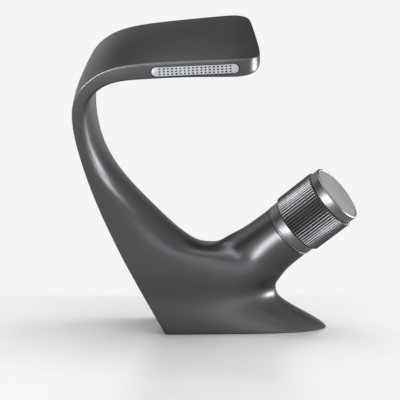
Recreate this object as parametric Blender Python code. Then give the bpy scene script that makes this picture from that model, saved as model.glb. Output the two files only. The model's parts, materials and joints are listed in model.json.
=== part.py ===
"""Bathroom mixer faucet: a swept, wide-mouthed spout with a fluted knob that mixes and shuts off.

The origin is the centre of the deck hole, on the deck's top face. +Z is up, and the user stands at -Y.
The body is one hollow casting. Its outside is a control cage of D-shaped rings, smoothed by a
Subdivision Surface modifier, and its waterways are cut by Booleans. The cartridge, the collar and the
knob are turned pieces on one axis, which leans out of the body to the right and forwards. They are
built standing on that axis: their heights are distances along it from its start inside the body.
"""

import math
from collections import namedtuple

import bmesh
import bpy
from mathutils import Matrix, Vector

MM = 0.001

# Fits between pieces
GAP = 0.3  # between pieces that touch
SLIDE = 0.4  # around pieces that slide in by hand

# Overall sizes of the body
SPOUT_HEIGHT = 166.3  # of the spout's back edge over the deck
SPOUT_REACH = 95.0  # of its front edge, towards the user
NECK_START = 52.0  # the height above which the neck stretches to that height and reach

# Body casting
WALL = 2.2  # around the spout's waterway
EDGE_WALL = 3.5  # at the spout's two long edges
CROWN = 0.03  # how far the ribbon's outer face bows out, as a share of its half width
RING_INNER = 8  # ring points on the round side, between the ribbon's two edges
RING_OUTER = 4  # ring points on the ribbon's outer face
SHARP = 1.0  # crease of the ribbon's long edges
SMOOTHING = 1  # subdivision levels
BLADE_CORNER = 11.0  # plan radius of the spout's two free corners
BLADE_SKEW = 2.2  # how much further its front corner reaches than its back one
BLADE_EDGE = (1.0, 0.95, 0.8, 0.58)  # depth of the end's rings, which rounds its lower edge
WATERWAY_DEPTH = 24.0  # the waterway's greatest depth, where the neck is thicker than that

# Knob axis: where it starts inside the body, and which way it leans
AXIS_START = Vector((0.0, 0.0, 21.0))
AXIS_YAW = math.radians(24.0)  # forwards, towards the user
AXIS_RISE = math.radians(37.2)

# Stem, along that axis
STEM_END = 52.5
STEM_WALL = 2.1
STEM_SIDES = 16

# Cartridge, along the same axis
CARTRIDGE_SEAT = 19.5  # the chamber's floor
CARTRIDGE_RADIUS = 12.6
BASE_HEIGHT = 4.0
DISC_HEIGHT = 3.2
CARRIER_HEIGHT = 3.6
TONGUE_WIDTH = 4.0  # of the tongues that turn the carrier and the moving disc
TONGUE_HEIGHT = 1.2
SHELL_WALL = 1.6
SHELL_TOP = 3.0  # thickness of the housing's top wall
NECK_RADIUS = 8.0  # of the housing's neck round the spindle
NECK_HEIGHT = 6.6
SPINDLE_RADIUS = 4.0
SPINDLE_FLANGE_RADIUS = 7.0
SPINDLE_FLANGE_HEIGHT = 1.4
WASHER_HEIGHT = 0.8
NUT_HEIGHT = 5.6
PORT_RADIUS = 2.2
INLET_OFFSET = 7.6  # of the two inlet ports from the axis
INLET_ANGLE = math.radians(35.0)  # of each from straight below the axis
OUTLET_OFFSET = 2.0  # of the outlet port, above the axis
PORT_SPOT = 4.0  # depth of the straight part of each port under the seat
SPOT_STEP = 0.4  # how much wider that part is than the drilling that meets it
SEAL_WIDTH = 1.0
SEAL_HEIGHT = 1.1
RING_DEPTH = 1.2  # of the o-ring's groove round the base
RING_HEIGHT = 1.4
SPINDLE_RING_DEPTH = 1.0  # of the o-ring's groove round the spindle
SPINDLE_RING_HEIGHT = 1.8
SPINDLE_RING_DROP = 3.2  # of that groove's lower side, from the top of the housing's neck
RING_STANDOUT = 0.1  # of each o-ring from its groove
NUT_KEY = 3.0  # size of the slots that a tool grips the cartridge's nut by
NUT_KEY_DEPTH = 2.0
HOLLOW_DEPTH = 0.9  # of the moving disc's mixing hollow
HOLLOW_ANGLE = math.radians(70.0)  # how far it spreads, and how far behind the cold port it waits
HOLLOW_WAIT = math.radians(28.0)

# Turn of the knob, and the stops that set it
TURN = math.radians(100.0)
STOP_LEG = math.radians(60.0)  # width of the leg that the knob's insert hangs between the stops
STOP_PLAY = math.radians(1.5)
STOP_RING_HEIGHT = 1.6
STOP_LUG_HEIGHT = 2.4

# Collar and knob
COLLAR_LIP = 0.25  # how far the collar stands out from the stem
COLLAR_HEIGHT = 5.4
COLLAR_WALL = 0.9  # of the spigot that goes into the stem
COLLAR_SPIGOT = 3.4
COLLAR_EDGE = 0.4
SEAL_LINE = 0.9  # the thin dark line between stem and collar
SEAL_INSET = 0.8  # of that line from the stem's outside
SLEEVE_LIP = 1.25  # how far the sleeve stands out from the collar
SLEEVE_HEIGHT = 22.2
SLEEVE_WALL = 3.6
FLUTES = 64
FLUTE_DEPTH = 0.55
CAP_STEP = 0.9  # how far the cap stands in from the sleeve
CAP_HEIGHT = 4.9
CAP_SPIGOT = 3.0
CAP_EDGE = 0.5
SCREW_RADIUS = 2.0
SCREW_HEAD_RADIUS = 3.6
SCREW_HEAD_HEIGHT = 2.2
SCREW_LENGTH = 9.0
SCREW_SOCKET_RADIUS = 1.4
SCREW_SOCKET_DEPTH = 1.1
INSERT_ROOF = 1.5  # of the insert, over the spindle's end
SET_SCREW_RADIUS = 2.0
SET_SCREW_START = 7.0  # of its inner end, from the axis
SET_SOCKET_RADIUS = 1.0
SET_SOCKET_DEPTH = 1.5

# Spray outlet in the spout's front edge
SLOT_X = -10.4  # of its middle
SLOT_LENGTH = 40.6
SLOT_HEIGHT = 5.0
SLOT_DEPTH = 7.0
SLOT_BELOW_EDGE = 4.2  # of its middle, from the spout's top edge
PLATE_THICKNESS = 2.0
PLATE_SETBACK = 0.3
GASKET_THICKNESS = 0.8
STRAIGHTENER_THICKNESS = 2.2
FRAME_WIDTH = 0.9
SPRAY_PITCH = 1.9
SPRAY_ROW_PITCH = 1.25
SPRAY_HOLE_LENGTH = 1.0
SPRAY_HOLE_HEIGHT = 0.7
STRAIGHTENER_CELLS = 9

# Deck fixing and inlets
DECK_THICKNESS = 12.0
STUD_X = -10.0
STUD_RADIUS = 4.0
STUD_GRIP = 10.0  # length screwed into the body
STUD_SPARE = 15.3  # length below its nut
CLAMP_RADIUS = 22.0
CLAMP_SLOT = 22.0  # the gap that the two hoses pass through
RUBBER_THICKNESS = 3.0
STEEL_THICKNESS = 1.8
CLAMP_BRIDGE = 2.5  # between that gap and the stud's hole
NUT_FLATS = 13.0
STUD_NUT_HEIGHT = 7.0
INLET_X = 4.0
INLET_Y = 8.5
INLET_RADIUS = 4.5
INLET_DEPTH = 12.0
INLET_DRILL_RADIUS = 2.4
OUTLET_DRILL_RADIUS = 2.8
OUTLET_END = Vector((-36.0, -9.0, 44.0))  # where the outlet's drilling meets the waterway
GROOVE_RADIUS = 21.5  # middle of the base gasket's groove
GROOVE_WIDTH = 3.0
GROOVE_DEPTH = 2.0

ROUND = 36  # sides of a turned piece that shows
SMALL_ROUND = 16  # sides of a small or hidden one

# One D-shaped section of the body: the front and back edges of the ribbon's outer face, the way from
# the middle of that face to the top of the round side, the shape's power (2 is an ellipse, 12 nearly
# a rectangle), and how far the points gather round the middle of the round side.
Section = namedtuple("Section", "front back depth power gather")
SECTIONS = [
    Section((-26.0, -29.0, 0.0), (-26.0, 28.0, 0.0), (87.6, 0.0, 0.0), 2.9, 0.0),
    Section((-27.1, -29.3, 2.0), (-27.1, 28.0, 2.0), (87.2, 0.0, -0.1), 2.8, 0.0),
    Section((-29.9, -29.8, 7.0), (-30.0, 27.7, 7.0), (81.4, 0.0, 0.0), 2.6, 0.0),
    Section((-33.0, -30.4, 12.5), (-33.2, 27.2, 12.5), (75.0, 0.0, -0.3), 2.3, 0.0),
    Section((-35.8, -31.0, 17.5), (-36.1, 26.6, 17.5), (71.0, 0.0, -0.7), 2.3, 0.0),
    Section((-38.2, -32.0, 22.0), (-38.7, 26.0, 22.0), (72.2, 0.0, 0.0), 2.3, 0.0),
    Section((-42.8, -35.0, 31.0), (-43.6, 24.5, 31.0), (74.0, 0.0, 1.0), 2.3, 0.0),
    Section((-47.2, -38.0, 39.8), (-48.6, 22.5, 40.4), (68.0, 0.0, 2.0), 2.2, 0.045),
    Section((-51.0, -41.5, 48.3), (-52.6, 20.5, 49.0), (48.8, 0.0, -5.2), 2.1, 0.09),
    Section((-53.5, -44.0, 54.2), (-55.4, 18.5, 55.2), (37.2, 0.0, -2.4), 2.1, 0.05),
    Section((-56.7, -48.2, 62.0), (-58.8, 15.5, 63.5), (28.0, 0.0, 2.0), 2.1, 0.02),
    Section((-59.8, -54.0, 71.0), (-62.2, 12.0, 73.0), (20.2, 0.0, 4.0), 2.1, 0.0),
    Section((-62.9, -61.0, 81.0), (-65.4, 8.0, 84.5), (13.8, 0.0, 4.6), 2.2, 0.0),
    Section((-65.3, -68.5, 90.9), (-68.0, 3.0, 97.0), (10.6, 0.0, 3.2), 2.4, 0.0),
    Section((-67.1, -76.0, 100.4), (-70.2, -1.5, 109.0), (9.6, 0.0, 1.4), 2.8, 0.0),
    Section((-67.9, -82.3, 109.7), (-71.1, -5.0, 121.0), (9.0, 0.0, 0.0), 3.4, 0.0),
    Section((-67.1, -86.2, 116.4), (-70.3, -8.0, 131.0), (8.2, 0.5, -2.2), 4.4, 0.0),
    Section((-64.6, -89.0, 122.0), (-68.0, -9.8, 139.5), (6.6, 1.2, -4.4), 5.6, 0.0),
    Section((-60.0, -91.3, 126.8), (-64.6, -11.0, 148.3), (4.5, 1.8, -6.1), 7.0, 0.0),
    Section((-54.0, -93.2, 130.9), (-57.5, -11.8, 155.4), (2.6, 2.2, -7.1), 9.0, 0.0),
    Section((-45.5, -94.6, 133.7), (-47.0, -12.0, 159.9), (1.2, 2.5, -7.6), 11.0, 0.0),
    Section((-33.0, -95.0, 134.7), (-34.0, -12.0, 162.1), (0.5, 2.6, -7.8), 12.0, 0.0),
    Section((-17.0, -95.0, 135.5), (-17.0, -12.0, 163.9), (0.3, 2.6, -7.8), 12.0, 0.0),
    Section((-3.0, -95.0, 136.1), (-3.0, -12.0, 165.2), (0.3, 2.8, -8.3), 12.0, 0.0),
    Section((9.0, -95.0, 136.6), (9.0, -12.0, 166.3), (0.3, 3.0, -8.9), 12.0, 0.0),
]
STEM_RINGS = (5, 8)  # the sections just under and over the stem
STEM_COLUMNS = (2, 7)  # the ring points either side of it
STEM_TURN = math.radians(213.75)  # where the hole's first corner lies round the stem
WATERWAY_START = 7  # the section where the waterway begins

# The stem's own rings: distance along the axis at its upper and its lower side, and how far each
# stands out from the stem's radius
FLARE = [
    (25.0, 32.0, 2.5),
    (32.0, 37.0, 0.8),
    (41.0, 43.0, 0.1),
]


# Materials

Finish = namedtuple("Finish", "colour roughness metallic")
FINISHES = {
    "gunmetal": Finish((0.10, 0.10, 0.105), 0.32, 0.9),
    "gunmetal_face": Finish((0.30, 0.30, 0.31), 0.45, 0.8),
    "spray_plastic": Finish((0.62, 0.66, 0.69), 0.45, 0.0),
    "white_plastic": Finish((0.80, 0.80, 0.78), 0.45, 0.0),
    "ceramic": Finish((0.88, 0.86, 0.80), 0.25, 0.0),
    "rubber": Finish((0.03, 0.03, 0.03), 0.80, 0.0),
    "brass": Finish((0.72, 0.53, 0.25), 0.35, 1.0),
    "steel": Finish((0.62, 0.62, 0.63), 0.35, 1.0),
}


def material(slot):
    """The Principled material of that finish, made once."""
    made = bpy.data.materials.get(slot)
    if made:
        return made
    made = bpy.data.materials.new(slot)
    made.use_nodes = True
    finish = FINISHES[slot]
    shader = made.node_tree.nodes["Principled BSDF"]
    shader.inputs["Base Color"].default_value = (*finish.colour, 1.0)
    shader.inputs["Roughness"].default_value = finish.roughness
    shader.inputs["Metallic"].default_value = finish.metallic
    return made


# Objects

def add_object(name, shape, slot, parent=None):
    """A node made from a bmesh in millimetres, smooth but for its corners."""
    bmesh.ops.scale(shape, vec=(MM, MM, MM), verts=shape.verts)
    bmesh.ops.recalc_face_normals(shape, faces=shape.faces)
    mesh = bpy.data.meshes.new(name)
    shape.to_mesh(mesh)
    shape.free()
    mesh.shade_smooth()
    mesh.set_sharp_from_angle(angle=math.radians(35))
    mesh.materials.append(material(slot))
    made = bpy.data.objects.new(name, mesh)
    bpy.context.scene.collection.objects.link(made)
    made.parent = parent
    return made


def boolean(target, tool, operation):
    modifier = target.modifiers.new(tool.name, "BOOLEAN")
    modifier.operation = operation
    modifier.object = tool
    modifier.solver = "EXACT"
    tool.hide_render = True
    tool.display_type = "WIRE"


def cut(target, name, shape, parent=None):
    """Takes that shape out of the target."""
    boolean(target, add_object(name, shape, "steel", parent), "DIFFERENCE")


def weld(target, name, shape, parent=None):
    """Adds that shape to the target."""
    boolean(target, add_object(name, shape, "steel", parent), "UNION")


def add_frame(name, origin, across, out):
    """An empty at that point, with +X along across and +Z along out."""
    turn = Matrix((across, out.cross(across), out)).transposed()
    empty = bpy.data.objects.new(name, None)
    bpy.context.scene.collection.objects.link(empty)
    empty.matrix_world = Matrix.Translation(origin * MM) @ turn.to_4x4()
    return empty


# Shapes, in millimetres

def turned(profile, sides=ROUND):
    """A closed outline of (radius, height) points, turned round Z."""
    shape = bmesh.new()
    rings = []
    for radius, height in profile:
        if radius == 0:
            rings.append([shape.verts.new((0, 0, height))] * sides)
            continue
        angles = [math.tau * i / sides for i in range(sides)]
        rings.append([shape.verts.new((radius * math.cos(a), radius * math.sin(a), height)) for a in angles])
    for lower, upper in zip(rings, rings[1:] + rings[:1]):
        for i in range(sides):
            j = (i + 1) % sides
            corners = list(dict.fromkeys((lower[i], lower[j], upper[j], upper[i])))
            if len(corners) > 2:
                shape.faces.new(corners)
    return shape


def tube(inner, outer, low, high, sides=ROUND):
    """A ring with a square section, or a solid rod where inner is 0."""
    return turned([(outer, low), (outer, high), (inner, high), (inner, low)], sides)


def rod(radius, low, high, sides=SMALL_ROUND):
    return tube(0, radius, low, high, sides)


def prism(outline, low, high):
    """A flat outline of (x, y) points, pulled up from low to high."""
    shape = bmesh.new()
    bottom = [shape.verts.new((x, y, low)) for x, y in outline]
    top = [shape.verts.new((x, y, high)) for x, y in outline]
    shape.faces.new(bottom[::-1])
    shape.faces.new(top)
    for i in range(len(outline)):
        j = (i + 1) % len(outline)
        shape.faces.new((bottom[i], bottom[j], top[j], top[i]))
    return shape


def box(length, width, low, high):
    x, y = length / 2, width / 2
    return prism([(-x, -y), (x, -y), (x, y), (-x, y)], low, high)


def moved(shape, offset):
    bmesh.ops.translate(shape, verts=shape.verts, vec=offset)
    return shape


def drilling(start, end, radius, sides=SMALL_ROUND):
    """A rod from one point to another."""
    start, end = Vector(start), Vector(end)
    way = end - start
    shape = rod(radius, 0, way.length, sides)
    bmesh.ops.rotate(shape, verts=shape.verts, matrix=way.to_track_quat("Z", "Y").to_matrix())
    return moved(shape, start)


def joined(shapes):
    """Several separate shapes in one bmesh."""
    whole = bmesh.new()
    for shape in shapes:
        mesh = bpy.data.meshes.new("piece")
        shape.to_mesh(mesh)
        shape.free()
        whole.from_mesh(mesh)
        bpy.data.meshes.remove(mesh)
    return whole


def arc(radius, start, end, steps):
    """Points (x, y) along an arc round the origin."""
    angles = [start + (end - start) * i / steps for i in range(steps + 1)]
    return [(radius * math.cos(a), radius * math.sin(a)) for a in angles]


def sector(inner, outer, start, end, low, high):
    """A ring's sector, from one angle to another."""
    steps = max(2, round((end - start) / math.radians(12)))
    return prism(arc(outer, start, end, steps) + arc(inner, end, start, steps), low, high)


def stadium(length, height, steps=8):
    """An outline with two straight sides and two half-round ends."""
    radius = height / 2
    reach = length / 2 - radius
    right = [(x + reach, y) for x, y in arc(radius, -math.pi / 2, math.pi / 2, steps)]
    return right + [(-x, -y) for x, y in right]


def frame_outline(length, height, width, low, high):
    """A stadium-shaped ring of that width, as a closed shape."""
    outer = stadium(length, height)
    inner = stadium(length - 2 * width, height - 2 * width)
    shape = bmesh.new()
    rings = [
        [shape.verts.new((x, y, z)) for x, y in outline]
        for outline, z in ((outer, low), (outer, high), (inner, high), (inner, low))
    ]
    for a, b in zip(rings, rings[1:] + rings[:1]):
        for i in range(len(outer)):
            j = (i + 1) % len(outer)
            shape.faces.new((a[i], a[j], b[j], b[i]))
    return shape


def fluted(inner, outer, depth, count, low, high):
    """A sleeve whose outside is a row of straight ridges."""
    angles = [math.pi * i / count for i in range(2 * count)]
    radii = [outer - depth * (i % 2) for i in range(2 * count)]
    shape = bmesh.new()
    rings = []
    for scale, z in ((1, low), (1, high), (0, high), (0, low)):
        rings.append([
            shape.verts.new(((r if scale else inner) * math.cos(a), (r if scale else inner) * math.sin(a), z))
            for r, a in zip(radii, angles)
        ])
    for a, b in zip(rings, rings[1:] + rings[:1]):
        for i in range(len(angles)):
            j = (i + 1) % len(angles)
            shape.faces.new((a[i], a[j], b[j], b[i]))
    return shape


# The body's cage

def stretched(point):
    """A section's point, with the neck stretched from its drawn size to the spout's height and reach."""
    drawn_height = max(section.back[2] for section in SECTIONS)
    drawn_reach = -min(section.front[1] for section in SECTIONS)
    share = max(0, (point[2] - NECK_START) / (drawn_height - NECK_START))
    return Vector(point) + share * Vector((0, drawn_reach - SPOUT_REACH, SPOUT_HEIGHT - drawn_height))


def section_ring(section, wall=0.0):
    """One ring of points: the front edge, the round side, the back edge and the outer face."""
    front, back, depth = stretched(section.front), stretched(section.back), Vector(section.depth)
    middle = (front + back) / 2
    half = (front - back) / 2
    inward = depth.normalized()
    if wall:
        middle += inward * wall
        half *= 1 - EDGE_WALL / half.length
        depth = inward * min(depth.length - 2 * wall, WATERWAY_DEPTH)
    points = []
    for i in range(RING_INNER + 2):
        share = i / (RING_INNER + 1)
        angle = math.pi * share + math.pi * section.gather * math.sin(math.tau * share)
        along = math.copysign(abs(math.cos(angle)) ** (2 / section.power), math.cos(angle))
        out = abs(math.sin(angle)) ** (2 / section.power)
        points.append(middle + half * along + depth * out)
    for i in range(1, RING_OUTER + 1):
        along = 2 * i / (RING_OUTER + 1) - 1
        points.append(middle + half * along - inward * CROWN * half.length * (1 - along * along))
    return points


def free_end(section):
    """The rings that round the spout's free corners in plan."""
    front, back, depth = Vector(section.front), Vector(section.back), Vector(section.depth)
    way = (back - front).normalized()
    rings = []
    for i, share in enumerate(BLADE_EDGE):
        angle = math.pi / 2 * i / (len(BLADE_EDGE) - 1)
        inset = way * BLADE_CORNER * (1 - math.cos(angle))
        reach = Vector((BLADE_CORNER * math.sin(angle), 0, 0))
        skew = Vector((BLADE_SKEW * math.sin(angle), 0, 0))
        rings.append(section._replace(
            front=front + inset + reach, back=back - inset + reach - skew, depth=depth * share))
    return rings


def cap_ring(shape, ring):
    """Closes a ring with a ladder of quads."""
    count = len(ring)
    for i in range(count // 2 - 1):
        shape.faces.new((ring[-i % count], ring[i + 1], ring[i + 2], ring[(-i - 1) % count]))


def body_cage():
    """The body's control cage: every section, the free end, and the stem growing out of its side."""
    shape = bmesh.new()
    crease = shape.edges.layers.float.new("crease_edge")
    sections = SECTIONS[:-1] + free_end(SECTIONS[-1])
    rings = [[shape.verts.new(p) for p in section_ring(s)] for s in sections]
    count = len(rings[0])
    low, high = STEM_RINGS
    first, last = STEM_COLUMNS
    for r, (lower, upper) in enumerate(zip(rings, rings[1:])):
        for i in range(count):
            if low <= r < high and first <= i < last:
                continue
            j = (i + 1) % count
            shape.faces.new((lower[i], lower[j], upper[j], upper[i]))
    shape.faces.new(rings[0][::-1])
    cap_ring(shape, rings[-1])

    def sharpen(a, b, value=SHARP):
        shape.edges.get((a, b))[crease] = value

    back = RING_INNER + 1
    for lower, upper in zip(rings, rings[1:]):
        sharpen(lower[0], upper[0])
        sharpen(lower[back], upper[back])
    for i in range(count):
        sharpen(rings[0][i], rings[0][(i + 1) % count])
    for i in range(back, count):
        sharpen(rings[-1][i], rings[-1][(i + 1) % count])

    hole = rings[low][first:last + 1]
    hole += [rings[r][last] for r in range(low + 1, high)]
    hole += rings[high][first:last + 1][::-1]
    hole += [rings[r][first] for r in range(high - 1, low, -1)]
    previous = hole
    for upper, lower, out in FLARE + [(STEM_END, STEM_END, 0)]:
        ring = [shape.verts.new(stem_point(k, upper, lower, STEM_RADIUS + out)) for k in range(STEM_SIDES)]
        for i in range(STEM_SIDES):
            j = (i + 1) % STEM_SIDES
            shape.faces.new((previous[i], previous[j], ring[j], ring[i]))
        previous = ring
    shape.faces.new(previous)
    for i in range(STEM_SIDES):
        sharpen(previous[i], previous[(i + 1) % STEM_SIDES], 1.0)
    return shape


def stem_point(k, upper, lower, radius):
    """Point k of a stem ring. Its radius allows for the smoothing, which draws a ring inwards."""
    step = math.tau / STEM_SIDES
    angle = STEM_TURN + step * k
    radius *= 6 / (4 + 2 * math.cos(step))
    height = (upper + lower) / 2 + (upper - lower) / 2 * math.sin(angle)
    return AXIS_START + ALONG * height + (BACKWARD * math.cos(angle) + ABOVE * math.sin(angle)) * radius


def waterway():
    """The hollow of the neck and the spout, as a loft inside the body's own sections."""
    shape = bmesh.new()
    sections = SECTIONS[WATERWAY_START:]
    rings = [[shape.verts.new(p) for p in section_ring(s, WALL)] for s in sections]
    count = len(rings[0])
    for lower, upper in zip(rings, rings[1:]):
        for i in range(count):
            j = (i + 1) % count
            shape.faces.new((lower[i], lower[j], upper[j], upper[i]))
    shape.faces.new(rings[0][::-1])
    shape.faces.new(rings[-1])
    return shape


# Directions: along the knob axis, and behind and above it
ALONG = Vector((
    math.cos(AXIS_YAW) * math.cos(AXIS_RISE),
    -math.sin(AXIS_YAW) * math.cos(AXIS_RISE),
    math.sin(AXIS_RISE),
))
BACKWARD = Vector((0, 0, 1)).cross(ALONG).normalized()
ABOVE = ALONG.cross(BACKWARD)

# Places of the three ports round the knob axis, on the frame's own X and Y
DRILL_Z = INLET_DEPTH - INLET_DRILL_RADIUS
PORTS = {
    "cold": (
        INLET_OFFSET * Vector((-math.sin(INLET_ANGLE), -math.cos(INLET_ANGLE), 0)),
        Vector((INLET_X, -INLET_Y, DRILL_Z)), INLET_DRILL_RADIUS),
    "hot": (
        INLET_OFFSET * Vector((math.sin(INLET_ANGLE), -math.cos(INLET_ANGLE), 0)),
        Vector((INLET_X, INLET_Y, DRILL_Z)), INLET_DRILL_RADIUS),
    "outlet": (OUTLET_OFFSET * Vector((0, 1, 0)), OUTLET_END, OUTLET_DRILL_RADIUS),
}

# Radii round the knob axis
CHAMBER_RADIUS = CARTRIDGE_RADIUS + SLIDE
STEM_RADIUS = CHAMBER_RADIUS + STEM_WALL
DISC_RADIUS = CARTRIDGE_RADIUS - SHELL_WALL - SLIDE
COLLAR_RADIUS = STEM_RADIUS + COLLAR_LIP
COLLAR_BORE = CARTRIDGE_RADIUS - COLLAR_WALL
STOP_RADIUS = COLLAR_BORE - SLIDE
SLEEVE_RADIUS = COLLAR_RADIUS + SLEEVE_LIP
SLEEVE_BORE = SLEEVE_RADIUS - SLEEVE_WALL
CAP_RADIUS = SLEEVE_RADIUS - CAP_STEP

# Heights along the knob axis, from the seat up
BASE_LOW = CARTRIDGE_SEAT + GAP
BASE_HIGH = BASE_LOW + BASE_HEIGHT
DISC_LOW = BASE_HIGH + GAP
TURNING_LOW = DISC_LOW + DISC_HEIGHT + GAP
CARRIER_LOW = TURNING_LOW + DISC_HEIGHT + GAP
FLANGE_LOW = CARRIER_LOW + CARRIER_HEIGHT + GAP
WASHER_LOW = FLANGE_LOW + SPINDLE_FLANGE_HEIGHT + GAP
SHELL_ROOF = WASHER_LOW + WASHER_HEIGHT + GAP
SHELL_SHOULDER = SHELL_ROOF + SHELL_TOP
NECK_TOP = SHELL_SHOULDER + NECK_HEIGHT
NUT_LOW = SHELL_SHOULDER + GAP
STOP_LOW = NUT_LOW + NUT_HEIGHT + GAP
STOP_HIGH = STOP_LOW + STOP_RING_HEIGHT
COLLAR_LOW = STEM_END + SEAL_LINE
COLLAR_HIGH = COLLAR_LOW + COLLAR_HEIGHT
SLEEVE_LOW = COLLAR_HIGH + SLIDE
SLEEVE_HIGH = SLEEVE_LOW + SLEEVE_HEIGHT
CAP_LOW = SLEEVE_HIGH + GAP
CAP_HIGH = CAP_LOW + CAP_HEIGHT
INSERT_LOW = SLEEVE_LOW + GAP
INSERT_HIGH = CAP_LOW - CAP_SPIGOT - SCREW_HEAD_HEIGHT - 2 * GAP
SPINDLE_TOP = INSERT_HIGH - SLIDE - INSERT_ROOF


# Pieces

def make_body(axis, outlet):
    body = add_object("body", body_cage(), "gunmetal")
    smooth = body.modifiers.new("smooth", "SUBSURF")
    smooth.levels = SMOOTHING
    smooth.render_levels = SMOOTHING
    half = GROOVE_WIDTH / 2
    cut(body, "gasket_groove", tube(GROOVE_RADIUS - half, GROOVE_RADIUS + half, -1, GROOVE_DEPTH))
    cut(body, "stud_hole", moved(rod(STUD_RADIUS + GAP, -1, STUD_GRIP + GAP), (STUD_X, 0, 0)))

    hollow = add_object("hollow", rod(CHAMBER_RADIUS, CARTRIDGE_SEAT, STEM_END + 5, ROUND), "steel", axis)
    weld(hollow, "waterway", waterway())
    weld(hollow, "spray_slot", prism(stadium(SLOT_LENGTH, SLOT_HEIGHT), -SLOT_DEPTH, 2), outlet)
    for side in (-1, 1):
        inlet = moved(rod(INLET_RADIUS, -1, INLET_DEPTH), (INLET_X, side * INLET_Y, 0))
        weld(hollow, f"inlet_{side}", inlet)
    spot_low = CARTRIDGE_SEAT - PORT_SPOT
    for name, (place, target, radius) in PORTS.items():
        spot = rod(radius + SPOT_STEP, spot_low, CARTRIDGE_SEAT + 1)
        weld(hollow, f"{name}_spot", moved(spot, place), axis)
        start = AXIS_START + ALONG * (spot_low + radius / 2) + BACKWARD * place.x + ABOVE * place.y
        weld(hollow, f"{name}_drilling", drilling(start, target, radius))
    boolean(body, hollow, "DIFFERENCE")


def make_deck_fixing():
    half = GROOVE_WIDTH / 2 - GAP
    gasket = tube(GROOVE_RADIUS - half, GROOVE_RADIUS + half, 0, GROOVE_DEPTH - GAP)
    add_object("base_gasket", gasket, "rubber")
    rubber_top = -DECK_THICKNESS - GAP
    steel_top = rubber_top - RUBBER_THICKNESS - GAP
    nut_top = steel_top - STEEL_THICKNESS - GAP
    stud = moved(rod(STUD_RADIUS, nut_top - STUD_NUT_HEIGHT - STUD_SPARE, STUD_GRIP), (STUD_X, 0, 0))
    add_object("mounting_stud", stud, "brass")
    make_horseshoe("horseshoe_gasket", "rubber", rubber_top, RUBBER_THICKNESS)
    make_horseshoe("horseshoe_washer", "steel", steel_top, STEEL_THICKNESS)
    corner = NUT_FLATS / math.sqrt(3)
    hexagon = prism(arc(corner, 0, math.tau * 5 / 6, 5), nut_top - STUD_NUT_HEIGHT, nut_top)
    nut = add_object("stud_nut", moved(hexagon, (STUD_X, 0, 0)), "brass")
    bore = moved(rod(STUD_RADIUS + GAP, nut_top - STUD_NUT_HEIGHT - 1, nut_top + 1), (STUD_X, 0, 0))
    cut(nut, "nut_bore", bore)


def make_horseshoe(name, slot, top, thickness):
    """A round plate with a hole for the stud and a gap for the hoses."""
    side = math.asin(CLAMP_SLOT / 2 / CLAMP_RADIUS)
    inner_x = STUD_X + STUD_RADIUS + GAP + CLAMP_BRIDGE + CLAMP_SLOT / 2
    inside = [(inner_x - y, x) for x, y in arc(CLAMP_SLOT / 2, 0, math.pi, 10)]
    outline = arc(CLAMP_RADIUS, side, math.tau - side, 30) + inside[::-1]
    plate = add_object(name, prism(outline, top - thickness, top), slot)
    hole = moved(rod(STUD_RADIUS + GAP, top - thickness - 1, top + 1), (STUD_X, 0, 0))
    cut(plate, f"{name}_hole", hole)


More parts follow.
